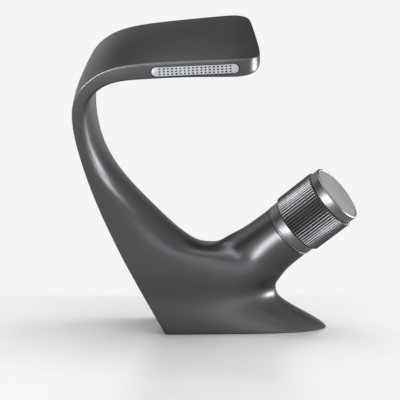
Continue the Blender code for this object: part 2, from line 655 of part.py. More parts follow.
def make_cartridge(axis):
    base = tube(0, CARTRIDGE_RADIUS, BASE_LOW, BASE_HIGH)
    base = add_object("cartridge_base", base, "white_plastic", axis)
    low = BASE_LOW + BASE_HEIGHT / 2
    high = low + RING_HEIGHT
    floor = CARTRIDGE_RADIUS - RING_DEPTH
    cut(base, "base_groove", tube(floor, CARTRIDGE_RADIUS + 1, low, high), axis)
    ring = tube(floor + GAP, CARTRIDGE_RADIUS + RING_STANDOUT, low + GAP, high - GAP)
    add_object("cartridge_o_ring", ring, "rubber", axis)

    disc = add_object("fixed_disc", tube(0, DISC_RADIUS, DISC_LOW, DISC_LOW + DISC_HEIGHT), "ceramic", axis)
    seal_inner = PORT_RADIUS + GAP
    seal_outer = seal_inner + SEAL_WIDTH
    seals = {"hot": "inlet_seal_hot", "cold": "inlet_seal_cold", "outlet": "outlet_seal"}
    for name, seal_name in seals.items():
        place = PORTS[name][0]
        port = moved(rod(PORT_RADIUS, BASE_LOW - 1, DISC_LOW + DISC_HEIGHT + GAP / 2), place)
        port_cutter = add_object(f"{name}_way", port, "steel", axis)
        boolean(base, port_cutter, "DIFFERENCE")
        boolean(disc, port_cutter, "DIFFERENCE")
        pocket = moved(rod(seal_outer + GAP, BASE_LOW - 1, BASE_LOW + SEAL_HEIGHT + GAP), place)
        cut(base, f"{name}_pocket", pocket, axis)
        seal = moved(tube(seal_inner, seal_outer, BASE_LOW, BASE_LOW + SEAL_HEIGHT, SMALL_ROUND), place)
        add_object(seal_name, seal, "rubber", axis)

    bore = DISC_RADIUS + SLIDE
    shaft_bore = SPINDLE_RADIUS + SLIDE
    shell = turned([
        (CARTRIDGE_RADIUS, DISC_LOW), (CARTRIDGE_RADIUS, SHELL_SHOULDER), (NECK_RADIUS, SHELL_SHOULDER),
        (NECK_RADIUS, NECK_TOP), (shaft_bore, NECK_TOP), (shaft_bore, SHELL_ROOF),
        (bore, SHELL_ROOF), (bore, DISC_LOW),
    ])
    add_object("cartridge_housing", shell, "white_plastic", axis)
    nut_high = NUT_LOW + NUT_HEIGHT
    nut = tube(NECK_RADIUS + SLIDE, CARTRIDGE_RADIUS, NUT_LOW, nut_high)
    nut = add_object("cartridge_nut", nut, "brass", axis)
    for i in range(4):
        key = moved(box(NUT_KEY, NUT_KEY, nut_high - NUT_KEY_DEPTH, nut_high + 1), (CARTRIDGE_RADIUS, 0, 0))
        bmesh.ops.rotate(key, verts=key.verts, matrix=Matrix.Rotation(math.pi / 2 * i, 3, "Z"))
        cut(nut, f"nut_key_{i}", key, axis)
    stop = add_object("stop_ring", tube(NECK_RADIUS + SLIDE, STOP_RADIUS, STOP_LOW, STOP_HIGH), "steel", axis)
    lug_start = STOP_LEG / 2 + TURN + STOP_PLAY
    lug_end = math.tau - STOP_LEG / 2 - STOP_PLAY
    lug_low, lug_high = STOP_HIGH - 0.5, STOP_HIGH + STOP_LUG_HEIGHT
    lug = sector(NECK_RADIUS + 1, STOP_RADIUS, lug_start, lug_end, lug_low, lug_high)
    weld(stop, "stop_lug", lug, axis)


def make_turning_parts(axis):
    """The pieces that turn inside the cartridge."""
    radius = DISC_RADIUS - GAP
    disc = add_object(
        "moving_disc", tube(0, radius, TURNING_LOW, TURNING_LOW + DISC_HEIGHT), "ceramic", axis)
    hollow_low, hollow_high = TURNING_LOW - 1, TURNING_LOW + HOLLOW_DEPTH
    middle = OUTLET_OFFSET + PORT_RADIUS + 0.2
    cut(disc, "hollow_middle", rod(middle, hollow_low, hollow_high), axis)
    leading = math.radians(270) - INLET_ANGLE - HOLLOW_WAIT
    outer = INLET_OFFSET + PORT_RADIUS
    arm = sector(middle - 1, outer, leading - HOLLOW_ANGLE, leading, hollow_low, hollow_high)
    cut(disc, "hollow_arm", arm, axis)
    slot_low = CARRIER_LOW - TONGUE_HEIGHT - 2 * GAP
    slot = box(3 * DISC_RADIUS, TONGUE_WIDTH + 2 * GAP, slot_low, CARRIER_LOW + 1)
    cut(disc, "disc_slot", slot, axis)

    carrier = tube(0, radius, CARRIER_LOW, CARRIER_LOW + CARRIER_HEIGHT)
    carrier = add_object("disc_carrier", carrier, "white_plastic", axis)
    tongue = box(1.6 * radius, TONGUE_WIDTH, CARRIER_LOW - TONGUE_HEIGHT, CARRIER_LOW + 1)
    weld(carrier, "carrier_tongue", tongue, axis)
    slot_low = FLANGE_LOW - TONGUE_HEIGHT - 2 * GAP
    slot = box(TONGUE_WIDTH + 2 * GAP, 3 * DISC_RADIUS, slot_low, FLANGE_LOW + 1)
    cut(carrier, "carrier_slot", slot, axis)

    low = NECK_TOP - SPINDLE_RING_DROP
    high = low + SPINDLE_RING_HEIGHT
    floor = SPINDLE_RADIUS - SPINDLE_RING_DEPTH
    flange_high = FLANGE_LOW + SPINDLE_FLANGE_HEIGHT
    spindle = turned([
        (0, FLANGE_LOW), (SPINDLE_FLANGE_RADIUS, FLANGE_LOW), (SPINDLE_FLANGE_RADIUS, flange_high),
        (SPINDLE_RADIUS, flange_high), (SPINDLE_RADIUS, low), (floor, low), (floor, high),
        (SPINDLE_RADIUS, high), (SPINDLE_RADIUS, SPINDLE_TOP), (0, SPINDLE_TOP),
    ], SMALL_ROUND)
    spindle = add_object("spindle", spindle, "brass", axis)
    tongue = box(TONGUE_WIDTH, 1.6 * SPINDLE_FLANGE_RADIUS, FLANGE_LOW - TONGUE_HEIGHT, FLANGE_LOW + 1)
    weld(spindle, "spindle_tongue", tongue, axis)
    thread = rod(SCREW_RADIUS + GAP, INSERT_HIGH - SCREW_LENGTH - 1, SPINDLE_TOP + 1)
    cut(spindle, "spindle_thread", thread, axis)
    ring = tube(floor + GAP, SPINDLE_RADIUS + RING_STANDOUT, low + GAP, high - GAP, SMALL_ROUND)
    add_object("spindle_o_ring", ring, "rubber", axis)
    washer = tube(SPINDLE_RADIUS + SLIDE, SPINDLE_FLANGE_RADIUS, WASHER_LOW, WASHER_LOW + WASHER_HEIGHT)
    add_object("glide_washer", washer, "white_plastic", axis)


def make_collar(axis):
    low = COLLAR_LOW - COLLAR_SPIGOT - SEAL_LINE
    lip = COLLAR_RADIUS - COLLAR_EDGE
    collar = turned([
        (CARTRIDGE_RADIUS, low), (CARTRIDGE_RADIUS, COLLAR_LOW), (lip, COLLAR_LOW),
        (COLLAR_RADIUS, COLLAR_LOW + COLLAR_EDGE), (COLLAR_RADIUS, COLLAR_HIGH - COLLAR_EDGE),
        (lip, COLLAR_HIGH), (COLLAR_BORE, COLLAR_HIGH), (COLLAR_BORE, low),
    ])
    add_object("trim_collar", collar, "gunmetal", axis)
    seal = tube(CHAMBER_RADIUS, STEM_RADIUS - SEAL_INSET, STEM_END + GAP, COLLAR_LOW - GAP)
    add_object("trim_gasket", seal, "rubber", axis)


def make_knob(axis):
    sleeve = fluted(SLEEVE_BORE, SLEEVE_RADIUS, FLUTE_DEPTH, FLUTES, SLEEVE_LOW, SLEEVE_HIGH)
    sleeve = add_object("knob_sleeve", sleeve, "gunmetal", axis)
    spigot = SLEEVE_BORE - GAP
    cap = turned([
        (0, CAP_LOW - CAP_SPIGOT), (spigot, CAP_LOW - CAP_SPIGOT), (spigot, CAP_LOW),
        (CAP_RADIUS, CAP_LOW), (CAP_RADIUS, CAP_HIGH - CAP_EDGE), (CAP_RADIUS - CAP_EDGE, CAP_HIGH),
        (0, CAP_HIGH),
    ])
    add_object("knob_cap", cap, "gunmetal_face", axis)

    insert = turned([
        (0, INSERT_LOW), (spigot, INSERT_LOW), (spigot, INSERT_HIGH), (0, INSERT_HIGH),
    ])
    insert = add_object("knob_insert", insert, "white_plastic", axis)
    leg_low = STOP_HIGH + GAP
    leg = sector(NECK_RADIUS + 1, STOP_RADIUS, -STOP_LEG / 2, STOP_LEG / 2, leg_low, INSERT_LOW + 1)
    weld(insert, "insert_leg", leg, axis)
    cut(insert, "insert_bore", rod(SPINDLE_RADIUS + GAP, INSERT_LOW - 1, SPINDLE_TOP + SLIDE), axis)
    cut(insert, "insert_screw_hole", rod(SCREW_RADIUS + GAP, SPINDLE_TOP, INSERT_HIGH + 1), axis)

    tip = INSERT_HIGH - SCREW_LENGTH
    head_low = INSERT_HIGH + GAP
    head_high = head_low + SCREW_HEAD_HEIGHT - GAP
    screw = turned([
        (0, tip), (SCREW_RADIUS, tip), (SCREW_RADIUS, head_low), (SCREW_HEAD_RADIUS, head_low),
        (SCREW_HEAD_RADIUS, head_high), (0, head_high),
    ], SMALL_ROUND)
    screw = add_object("knob_screw", screw, "steel", axis)
    socket = rod(SCREW_SOCKET_RADIUS, head_high - SCREW_SOCKET_DEPTH, head_high + 1, 6)
    cut(screw, "screw_socket", socket, axis)

    middle = (INSERT_LOW + INSERT_HIGH) / 2
    outer = SLEEVE_RADIUS - FLUTE_DEPTH - GAP
    grub = radial_rod(SET_SCREW_RADIUS, SET_SCREW_START, outer, middle)
    grub = add_object("set_screw", grub, "steel", axis)
    socket = radial_rod(SET_SOCKET_RADIUS, outer - SET_SOCKET_DEPTH, outer + 1, middle, 6)
    cut(grub, "set_socket", socket, axis)
    hole = radial_rod(SET_SCREW_RADIUS + GAP, SET_SCREW_START - GAP, outer + 3, middle)
    hole = add_object("set_hole", hole, "steel", axis)
    boolean(sleeve, hole, "DIFFERENCE")
    boolean(insert, hole, "DIFFERENCE")


def radial_rod(radius, inner, outer, height, sides=SMALL_ROUND):
    """A rod that points away from the axis, on the knob's underside."""
    return drilling((0, -inner, height), (0, -outer, height), radius, sides)


def make_spray(outlet):
    """The plate with its holes, its gasket and the flow straightener, in the spout's front edge."""
    length, height = SLOT_LENGTH - 2 * GAP, SLOT_HEIGHT - 2 * GAP
    plate_back = -PLATE_SETBACK - PLATE_THICKNESS
    plate = add_object(
        "spray_plate", prism(stadium(length, height), plate_back, -PLATE_SETBACK), "spray_plastic", outlet)
    holes = []
    number = int((length - height) / SPRAY_PITCH)
    for row in (-1, 0, 1):
        for i in range(number):
            hole = box(SPRAY_HOLE_LENGTH, SPRAY_HOLE_HEIGHT, plate_back - 1, 1)
            holes.append(moved(hole, ((i - (number - 1) / 2) * SPRAY_PITCH, row * SPRAY_ROW_PITCH, 0)))
    cut(plate, "spray_holes", joined(holes), outlet)

    top = plate_back - GAP
    gasket = frame_outline(length, height, FRAME_WIDTH, top - GASKET_THICKNESS, top)
    add_object("spray_gasket", gasket, "rubber", outlet)
    top -= GASKET_THICKNESS + GAP
    block = prism(stadium(length, height), top - STRAIGHTENER_THICKNESS, top)
    block = add_object("flow_straightener", block, "white_plastic", outlet)
    pitch = (length - height) / STRAIGHTENER_CELLS
    cells = []
    for i in range(STRAIGHTENER_CELLS):
        cell = box(pitch - 0.8, height - 2 * FRAME_WIDTH, top - STRAIGHTENER_THICKNESS - 1, top + 1)
        cells.append(moved(cell, ((i - (STRAIGHTENER_CELLS - 1) / 2) * pitch, 0, 0)))
    cut(block, "straightener_cells", joined(cells), outlet)


def clear_scene():
    for item in list(bpy.data.objects):
        bpy.data.objects.remove(item)


def spray_frame():
    """The middle of the slot on the spout's front face, the way along it, and the way the water leaves."""
    left, right = stretched(SECTIONS[-4].front), stretched(SECTIONS[-1].front)
    out = (left - stretched(SECTIONS[-4].back)).normalized()
    across = right - left
    share = (SLOT_X - left.x) / across.x
    edge = left + across * share
    across = (across - out * across.dot(out)).normalized()
    return edge - out.cross(across) * SLOT_BELOW_EDGE, across, out


def main():
    clear_scene()
    axis = add_frame("knob_axis", AXIS_START, BACKWARD, ALONG)
    outlet = add_frame("spray_frame", *spray_frame())
    make_body(axis, outlet)
    make_deck_fixing()
    make_cartridge(axis)
    make_turning_parts(axis)
    make_collar(axis)
    make_knob(axis)
    make_spray(outlet)


main()
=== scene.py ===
# %% [markdown]
# # A bathroom mixer faucet with a swept spout
#
# One hollow casting sweeps up from the basin, bends over and ends in a wide flat blade that water
# leaves through a row of fine holes. A fluted knob on a leaning stem mixes hot and cold. The packed
# model already has every piece at its real size and place. Here the pieces that show are made again
# with their finer shapes, and every piece gets its finish.

import json
import math
from collections import namedtuple

import bmesh
import bpy
from mathutils import Matrix, Vector


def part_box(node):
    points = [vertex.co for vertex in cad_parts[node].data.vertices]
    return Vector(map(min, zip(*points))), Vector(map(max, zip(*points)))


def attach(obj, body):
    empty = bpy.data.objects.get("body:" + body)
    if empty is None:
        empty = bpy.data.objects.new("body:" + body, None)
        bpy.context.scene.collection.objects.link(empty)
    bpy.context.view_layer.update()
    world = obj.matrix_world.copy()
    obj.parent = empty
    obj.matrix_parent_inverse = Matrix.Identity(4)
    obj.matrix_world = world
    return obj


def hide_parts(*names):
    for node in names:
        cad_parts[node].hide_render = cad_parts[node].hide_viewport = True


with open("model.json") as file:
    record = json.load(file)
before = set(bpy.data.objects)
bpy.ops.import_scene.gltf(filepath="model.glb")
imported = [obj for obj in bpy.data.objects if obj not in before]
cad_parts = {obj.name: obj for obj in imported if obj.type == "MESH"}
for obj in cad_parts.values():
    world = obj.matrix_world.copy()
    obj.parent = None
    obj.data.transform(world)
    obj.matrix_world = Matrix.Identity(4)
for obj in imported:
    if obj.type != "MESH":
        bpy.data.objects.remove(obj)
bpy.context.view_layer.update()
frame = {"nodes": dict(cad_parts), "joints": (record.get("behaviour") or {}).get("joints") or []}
MM = 0.001
print("pieces in the packed model:", len(frame["nodes"]))

# %% [markdown]
# ## The knob's axis
#
# The cartridge, the collar and the knob are all turned round one line, which leans out of the body.
# Turned pieces are easiest to make standing upright at the origin, so each is built with its height
# along Z, and one matrix puts it on the axis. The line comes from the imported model's own joint, so
# the knob can't drift away from the cartridge that it turns.

# %% A frame on the knob's axis
turn_joint = frame["joints"][0]
AXIS_START = Vector(turn_joint["pos_m"])
ALONG = Vector(turn_joint["axis"]).normalized()
BACKWARD = Vector((0, 0, 1)).cross(ALONG).normalized()
ABOVE = ALONG.cross(BACKWARD)


def place(origin, across, up, out):
    """The matrix that takes an upright piece to that origin, with its X, Y and Z along those ways."""
    return Matrix.Translation(origin) @ Matrix((across, up, out)).transposed().to_4x4()


KNOB_AXIS = place(AXIS_START, BACKWARD, ABOVE, ALONG)


def span(node):
    """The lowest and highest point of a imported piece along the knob's axis, in millimetres."""
    heights = [(v.co - AXIS_START).dot(ALONG) / MM for v in frame["nodes"][node].data.vertices]
    return min(heights), max(heights)


def reach(node):
    """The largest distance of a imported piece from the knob's axis, in millimetres."""
    far = 0
    for v in frame["nodes"][node].data.vertices:
        way = v.co - AXIS_START
        far = max(far, (way - ALONG * way.dot(ALONG)).length / MM)
    return far


collar_low, collar_high = span("trim_collar")
sleeve_low, sleeve_high = span("knob_sleeve")
cap_low, cap_high = span("knob_cap")
print(f"the collar ends at {collar_high:.1f} mm along the axis")
print(f"the sleeve runs from {sleeve_low:.1f} to {sleeve_high:.1f} mm, and the cap to {cap_high:.1f}")

# %% [markdown]
# ## Finishes
#
# The body is brass under a dark satin coating of gunmetal grey. A coating like that is never one
# flat colour: its shade drifts a little over a hand's width, and a grain finer than a tenth of a
# millimetre breaks up the gloss. One recipe makes every finish here. A broad noise drifts the
# colour, a finer one drifts the roughness, and a very fine one lifts the surface as a bump. Each
# finish then only says its two shades, its gloss, the size of its grain, and how bright it stays when
# seen along its surface: a dark coating loses much of the edge shine that bare metal has. Noise in
# the piece's own coordinates needs no unwrapping and stays put when the knob turns.

# %% The recipe for a finish
Finish = namedtuple("Finish", "dark light rough_low rough_high metallic drift grain bump edge")


def noise(tree, coordinates, scale, detail=3.0):
    """A noise of that many waves to the metre."""
    node = tree.nodes.new("ShaderNodeTexNoise")
    node.inputs["Scale"].default_value = scale
    node.inputs["Detail"].default_value = detail
    tree.links.new(coordinates, node.inputs["Vector"])
    return node.outputs["Fac"]


def spread(tree, value, low, high):
    """Takes a noise, which stays near the middle of 0 to 1, to the whole way from low to high."""
    node = tree.nodes.new("ShaderNodeMapRange")
    node.inputs["From Min"].default_value = 0.3
    node.inputs["From Max"].default_value = 0.7
    node.inputs["To Min"].default_value = low
    node.inputs["To Max"].default_value = high
    tree.links.new(value, node.inputs["Value"])
    return node.outputs["Result"]


def blend_colours(tree, share, dark, light):
    node = tree.nodes.new("ShaderNodeMix")
    node.data_type = "RGBA"
    node.inputs["A"].default_value = (*dark, 1)
    node.inputs["B"].default_value = (*light, 1)
    tree.links.new(share, node.inputs["Factor"])
    return node.outputs["Result"]


def bumped(tree, shader, height, distance, strength=1.0):
    """Lifts the surface by that height, over any bump that the shader already has."""
    node = tree.nodes.new("ShaderNodeBump")
    node.inputs["Distance"].default_value = distance
    node.inputs["Strength"].default_value = strength
    tree.links.new(height, node.inputs["Height"])
    if shader.inputs["Normal"].links:
        tree.links.new(shader.inputs["Normal"].links[0].from_socket, node.inputs["Normal"])
    tree.links.new(node.outputs["Normal"], shader.inputs["Normal"])


def finish(name, look):
    """The material of that look, with its node tree, shader and coordinates for any further marks."""
    made = bpy.data.materials.new(name)
    made.use_nodes = True
    tree = made.node_tree
    shader = tree.nodes["Principled BSDF"]
    shader.inputs["Metallic"].default_value = look.metallic
    shader.inputs["Specular Tint"].default_value = (look.edge, look.edge, look.edge, 1)
    coordinates = tree.nodes.new("ShaderNodeTexCoord").outputs["Object"]
    drift = spread(tree, noise(tree, coordinates, look.drift), 0, 1)
    tree.links.new(blend_colours(tree, drift, look.dark, look.light), shader.inputs["Base Color"])
    cloud = noise(tree, coordinates, look.drift * 4)
    tree.links.new(spread(tree, cloud, look.rough_low, look.rough_high), shader.inputs["Roughness"])
    bumped(tree, shader, noise(tree, coordinates, look.grain, 2.0), look.bump)
    return made, tree, shader, coordinates


# %% The finishes
SATIN = Finish((0.062, 0.0605, 0.065), (0.068, 0.0665, 0.071), 0.32, 0.345, 0.85, 22, 4200, 0.000002, 0.4)
GRIP = Finish((0.100, 0.099, 0.105), (0.120, 0.119, 0.126), 0.36, 0.43, 0.95, 60, 5200, 0.000001, 0.7)
FACE = Finish((0.20, 0.20, 0.208), (0.24, 0.238, 0.246), 0.38, 0.46, 1.0, 60, 5200, 0.000002, 1.0)
PALE_PLASTIC = Finish((0.12, 0.13, 0.14), (0.15, 0.162, 0.172), 0.34, 0.46, 0.0, 160, 3000, 0.00001, 1.0)
WHITE_PLASTIC = Finish((0.70, 0.70, 0.67), (0.80, 0.80, 0.78), 0.38, 0.5, 0.0, 90, 2600, 0.00001, 1.0)
CERAMIC = Finish((0.80, 0.77, 0.70), (0.88, 0.86, 0.81), 0.08, 0.16, 0.0, 70, 6000, 0.000002, 1.0)
RUBBER = Finish((0.016, 0.016, 0.017), (0.03, 0.03, 0.031), 0.62, 0.8, 0.0, 200, 2600, 0.00002, 1.0)
BRASS = Finish((0.62, 0.42, 0.17), (0.76, 0.55, 0.26), 0.24, 0.36, 1.0, 120, 3200, 0.00001, 1.0)
STEEL = Finish((0.46, 0.46, 0.47), (0.58, 0.58, 0.59), 0.26, 0.38, 1.0, 120, 3200, 0.00001, 1.0)

satin = finish("gunmetal_satin", SATIN)[0]
grip = finish("gunmetal_polished", GRIP)[0]
spray_plastic = finish("pale_spray_plastic", PALE_PLASTIC)[0]
white_plastic = finish("white_acetal", WHITE_PLASTIC)[0]
ceramic = finish("alumina_ceramic", CERAMIC)[0]
rubber = finish("black_rubber", RUBBER)[0]
brass = finish("turned_brass", BRASS)[0]
steel = finish("stainless_steel", STEEL)[0]

# %% [markdown]
# ## Rings left by the lathe
#
# The knob's end was faced off on a lathe, so very fine rings run round its middle. They are far too
# fine to model: a wave texture in rings round the knob's axis, used as a bump, catches the light
# the way they do and costs nothing.

# %% The turned end face
FACE_RING_WIDTH = 0.00035
FACE_RING_DEPTH = 0.000004
WAVE_REPEAT = 0.314  # the wave texture repeats about every 0.314 / scale


def turned_rings(tree, shader, coordinates, width, depth):
    rings = tree.nodes.new("ShaderNodeTexWave")
    rings.wave_type = "RINGS"
    rings.rings_direction = "Z"
    rings.inputs["Scale"].default_value = WAVE_REPEAT / width
    rings.inputs["Distortion"].default_value = 0.6
    upright = tree.nodes.new("ShaderNodeMapping")
    upright.vector_type = "TEXTURE"
    upright.inputs["Location"].default_value = KNOB_AXIS.to_translation()
    upright.inputs["Rotation"].default_value = KNOB_AXIS.to_euler()
    tree.links.new(coordinates, upright.inputs["Vector"])
    tree.links.new(upright.outputs["Vector"], rings.inputs["Vector"])
    bumped(tree, shader, rings.outputs["Fac"], depth)


face, face_tree, face_shader, face_coordinates = finish("gunmetal_turned_face", FACE)
turned_rings(face_tree, face_shader, face_coordinates, FACE_RING_WIDTH, FACE_RING_DEPTH)

# %% [markdown]
# ## Making and keeping pieces
#
# Each piece starts as a bmesh in millimetres, becomes one object, and gets its modifiers. Then the
# result of the modifiers is kept as the piece's own mesh. That has two uses: cutters can be thrown
# away, and corners can be marked sharp by their real angle after every cut has been made.

# %% Helpers for pieces
SHARP_ANGLE = math.radians(32)
ROUND = 128  # sides of a turned piece that shows
SMALL_ROUND = 48
PAST = 1  # how far a cutter reaches beyond what it cuts
made_pieces = []


def new_object(name, shape, matrix=Matrix.Identity(4)):
    """An object made from a bmesh in millimetres, with the matrix that puts it in its place."""
    bmesh.ops.scale(shape, vec=(MM, MM, MM), verts=shape.verts)
    bmesh.ops.recalc_face_normals(shape, faces=shape.faces)
    mesh = bpy.data.meshes.new(name)
    shape.to_mesh(mesh)
    shape.free()
    mesh.transform(matrix)
    made = bpy.data.objects.new(name, mesh)
    bpy.context.scene.collection.objects.link(made)
    return made


def boolean(target, tool, operation="DIFFERENCE"):
    modifier = target.modifiers.new(tool.name, "BOOLEAN")
    modifier.operation = operation
    modifier.object = tool
    modifier.solver = "EXACT"


def soften(target, width, angle=35, segments=2):
    """Rounds every corner sharper than that angle."""
    modifier = target.modifiers.new("soften", "BEVEL")
    modifier.width = width * MM
    modifier.segments = segments
    modifier.limit_method = "ANGLE"
    modifier.angle_limit = math.radians(angle)
    modifier.miter_outer = "MITER_ARC"


def keep(piece, cutters=()):
    """Keeps the modifiers' result as the piece's own mesh, and throws its cutters away."""
    bpy.context.view_layer.update()
    seen = piece.evaluated_get(bpy.context.evaluated_depsgraph_get())
    mesh = bpy.data.meshes.new_from_object(seen)
    piece.modifiers.clear()
    piece.data = mesh
    mesh.name = piece.name
    mesh.shade_smooth()
    mesh.set_sharp_from_angle(angle=SHARP_ANGLE)
    for cutter in cutters:
        bpy.data.objects.remove(cutter)
    return piece


def hand_over(piece, body, slot, look, *nodes):
    """Gives a finished piece its material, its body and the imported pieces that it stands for."""
    piece.data.materials.clear()
    piece.data.materials.append(look)
    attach(piece, body)
    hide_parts(*nodes)
    made_pieces.append(piece.name)
    print(f"{piece.name}: {len(piece.data.polygons)} faces")


# %% Helpers for shapes
def turned(profile, sides=ROUND):
    """A closed outline of (radius, height) points, turned round Z."""
    shape = bmesh.new()
    rings = []
    for radius, height in profile:
        if radius == 0:
            rings.append([shape.verts.new((0, 0, height))] * sides)
            continue
        angles = [math.tau * i / sides for i in range(sides)]
        rings.append([shape.verts.new((radius * math.cos(a), radius * math.sin(a), height)) for a in angles])
    for lower, upper in zip(rings, rings[1:] + rings[:1]):
        for i in range(sides):
            j = (i + 1) % sides
            corners = list(dict.fromkeys((lower[i], lower[j], upper[j], upper[i])))
            if len(corners) > 2:
                shape.faces.new(corners)
    return shape


def rounded(profile, radius, steps=4):
    """The same outline with every corner off the axis rounded, as a tool or a mould leaves it."""
    points = []
    for i, (r, h) in enumerate(profile):
        here = Vector((r, h))
        before = Vector(profile[i - 1]) - here
        after = Vector(profile[(i + 1) % len(profile)]) - here
        if r == 0:
            points.append((r, h))
            continue
        cut = min(radius, before.length * 0.45, after.length * 0.45)
        start = here + before.normalized() * cut
        end = here + after.normalized() * cut
        for k in range(steps + 1):
            t = k / steps
            bend = start * (1 - t) ** 2 + here * 2 * t * (1 - t) + end * t ** 2
            points.append((bend.x, bend.y))
    return points


def rod(radius, low, high, sides=SMALL_ROUND):
    return turned([(0, low), (radius, low), (radius, high), (0, high)], sides)


def prism(outline, low, high):
    """A flat outline of (x, y) points, pulled up from low to high."""
    shape = bmesh.new()
    bottom = [shape.verts.new((x, y, low)) for x, y in outline]
    top = [shape.verts.new((x, y, high)) for x, y in outline]
    shape.faces.new(bottom[::-1])
    shape.faces.new(top)
    for i in range(len(outline)):
        j = (i + 1) % len(outline)
        shape.faces.new((bottom[i], bottom[j], top[j], top[i]))
    return shape


def stacked(outlines):
    """A solid through several outlines with the same number of (x, y) points, each at its height."""
    shape = bmesh.new()
    rings = [[shape.verts.new((x, y, z)) for x, y in outline] for outline, z in outlines]
    count = len(rings[0])
    for lower, upper in zip(rings, rings[1:]):
        for i in range(count):
            j = (i + 1) % count
            shape.faces.new((lower[i], lower[j], upper[j], upper[i]))
    shape.faces.new(rings[0][::-1])
    shape.faces.new(rings[-1])
    return shape


def arc(radius, start, end, steps):
    angles = [start + (end - start) * i / steps for i in range(steps + 1)]
    return [(radius * math.cos(a), radius * math.sin(a)) for a in angles]


def stadium(length, height, steps=20):
    """An outline with two straight sides and two half-round ends."""
    radius = height / 2
    straight = length / 2 - radius
    right = [(x + straight, y) for x, y in arc(radius, -math.pi / 2, math.pi / 2, steps)]
    return right + [(-x, -y) for x, y in right]


def moved(shape, offset):
    bmesh.ops.translate(shape, verts=shape.verts, vec=offset)
    return shape


# %% [markdown]
# ## The casting's cage
#
# The body has no flat side to start from. It could be sculpted, or lofted through curves, but both
# make it hard to keep the two long edges crisp and the rest perfectly even. A control cage with a
# Subdivision Surface does both. Every section of the body is D-shaped: a nearly flat outer face with
# two edges, and a round inner side. Walking those sections from the foot, up the neck, round the
# bend and out to the free end draws the whole ribbon. The stem for the knob grows out of a hole left
# in the round side, ring by ring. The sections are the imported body's own, so both have one shape.

# %% The sections
CROWN = 0.03  # how far the outer face bows out, as a share of its half width
RING_INNER = 8  # points on the round side, between the two edges
RING_OUTER = 4  # points on the outer face
BLADE_CORNER = 11.0  # plan radius of the spout's two free corners
BLADE_SKEW = 2.2  # how much further its front corner reaches than its back one
BLADE_EDGE = (1.0, 0.95, 0.8, 0.58)  # depth of the end's rings, which rounds its lower edge

# The front and back edges of the outer face, the way from its middle to the top of the round side,
# the shape's power (2 is an ellipse, 12 nearly a rectangle), and how far the points gather there.
Section = namedtuple("Section", "front back depth power gather")
SECTIONS = [
    Section((-26.0, -29.0, 0.0), (-26.0, 28.0, 0.0), (87.6, 0.0, 0.0), 2.9, 0.0),
    Section((-27.1, -29.3, 2.0), (-27.1, 28.0, 2.0), (87.2, 0.0, -0.1), 2.8, 0.0),
    Section((-29.9, -29.8, 7.0), (-30.0, 27.7, 7.0), (81.4, 0.0, 0.0), 2.6, 0.0),
    Section((-33.0, -30.4, 12.5), (-33.2, 27.2, 12.5), (75.0, 0.0, -0.3), 2.3, 0.0),
    Section((-35.8, -31.0, 17.5), (-36.1, 26.6, 17.5), (71.0, 0.0, -0.7), 2.3, 0.0),
    Section((-38.2, -32.0, 22.0), (-38.7, 26.0, 22.0), (72.2, 0.0, 0.0), 2.3, 0.0),
    Section((-42.8, -35.0, 31.0), (-43.6, 24.5, 31.0), (74.0, 0.0, 1.0), 2.3, 0.0),
    Section((-47.2, -38.0, 39.8), (-48.6, 22.5, 40.4), (68.0, 0.0, 2.0), 2.2, 0.045),
    Section((-51.0, -41.5, 48.3), (-52.6, 20.5, 49.0), (48.8, 0.0, -5.2), 2.1, 0.09),
    Section((-53.5, -44.0, 54.2), (-55.4, 18.5, 55.2), (37.2, 0.0, -2.4), 2.1, 0.05),
    Section((-56.7, -48.2, 62.0), (-58.8, 15.5, 63.5), (28.0, 0.0, 2.0), 2.1, 0.02),
    Section((-59.8, -54.0, 71.0), (-62.2, 12.0, 73.0), (20.2, 0.0, 4.0), 2.1, 0.0),
    Section((-62.9, -61.0, 81.0), (-65.4, 8.0, 84.5), (13.8, 0.0, 4.6), 2.2, 0.0),
    Section((-65.3, -68.5, 90.9), (-68.0, 3.0, 97.0), (10.6, 0.0, 3.2), 2.4, 0.0),
    Section((-67.1, -76.0, 100.4), (-70.2, -1.5, 109.0), (9.6, 0.0, 1.4), 2.8, 0.0),
    Section((-67.9, -82.3, 109.7), (-71.1, -5.0, 121.0), (9.0, 0.0, 0.0), 3.4, 0.0),
    Section((-67.1, -86.2, 116.4), (-70.3, -8.0, 131.0), (8.2, 0.5, -2.2), 4.4, 0.0),
    Section((-64.6, -89.0, 122.0), (-68.0, -9.8, 139.5), (6.6, 1.2, -4.4), 5.6, 0.0),
    Section((-60.0, -91.3, 126.8), (-64.6, -11.0, 148.3), (4.5, 1.8, -6.1), 7.0, 0.0),
    Section((-54.0, -93.2, 130.9), (-57.5, -11.8, 155.4), (2.6, 2.2, -7.1), 9.0, 0.0),
    Section((-45.5, -94.6, 133.7), (-47.0, -12.0, 159.9), (1.2, 2.5, -7.6), 11.0, 0.0),
    Section((-33.0, -95.0, 134.7), (-34.0, -12.0, 162.1), (0.5, 2.6, -7.8), 12.0, 0.0),
    Section((-17.0, -95.0, 135.5), (-17.0, -12.0, 163.9), (0.3, 2.6, -7.8), 12.0, 0.0),
    Section((-3.0, -95.0, 136.1), (-3.0, -12.0, 165.2), (0.3, 2.8, -8.3), 12.0, 0.0),
    Section((9.0, -95.0, 136.6), (9.0, -12.0, 166.3), (0.3, 3.0, -8.9), 12.0, 0.0),
]
print(len(SECTIONS), "sections from foot to free end")

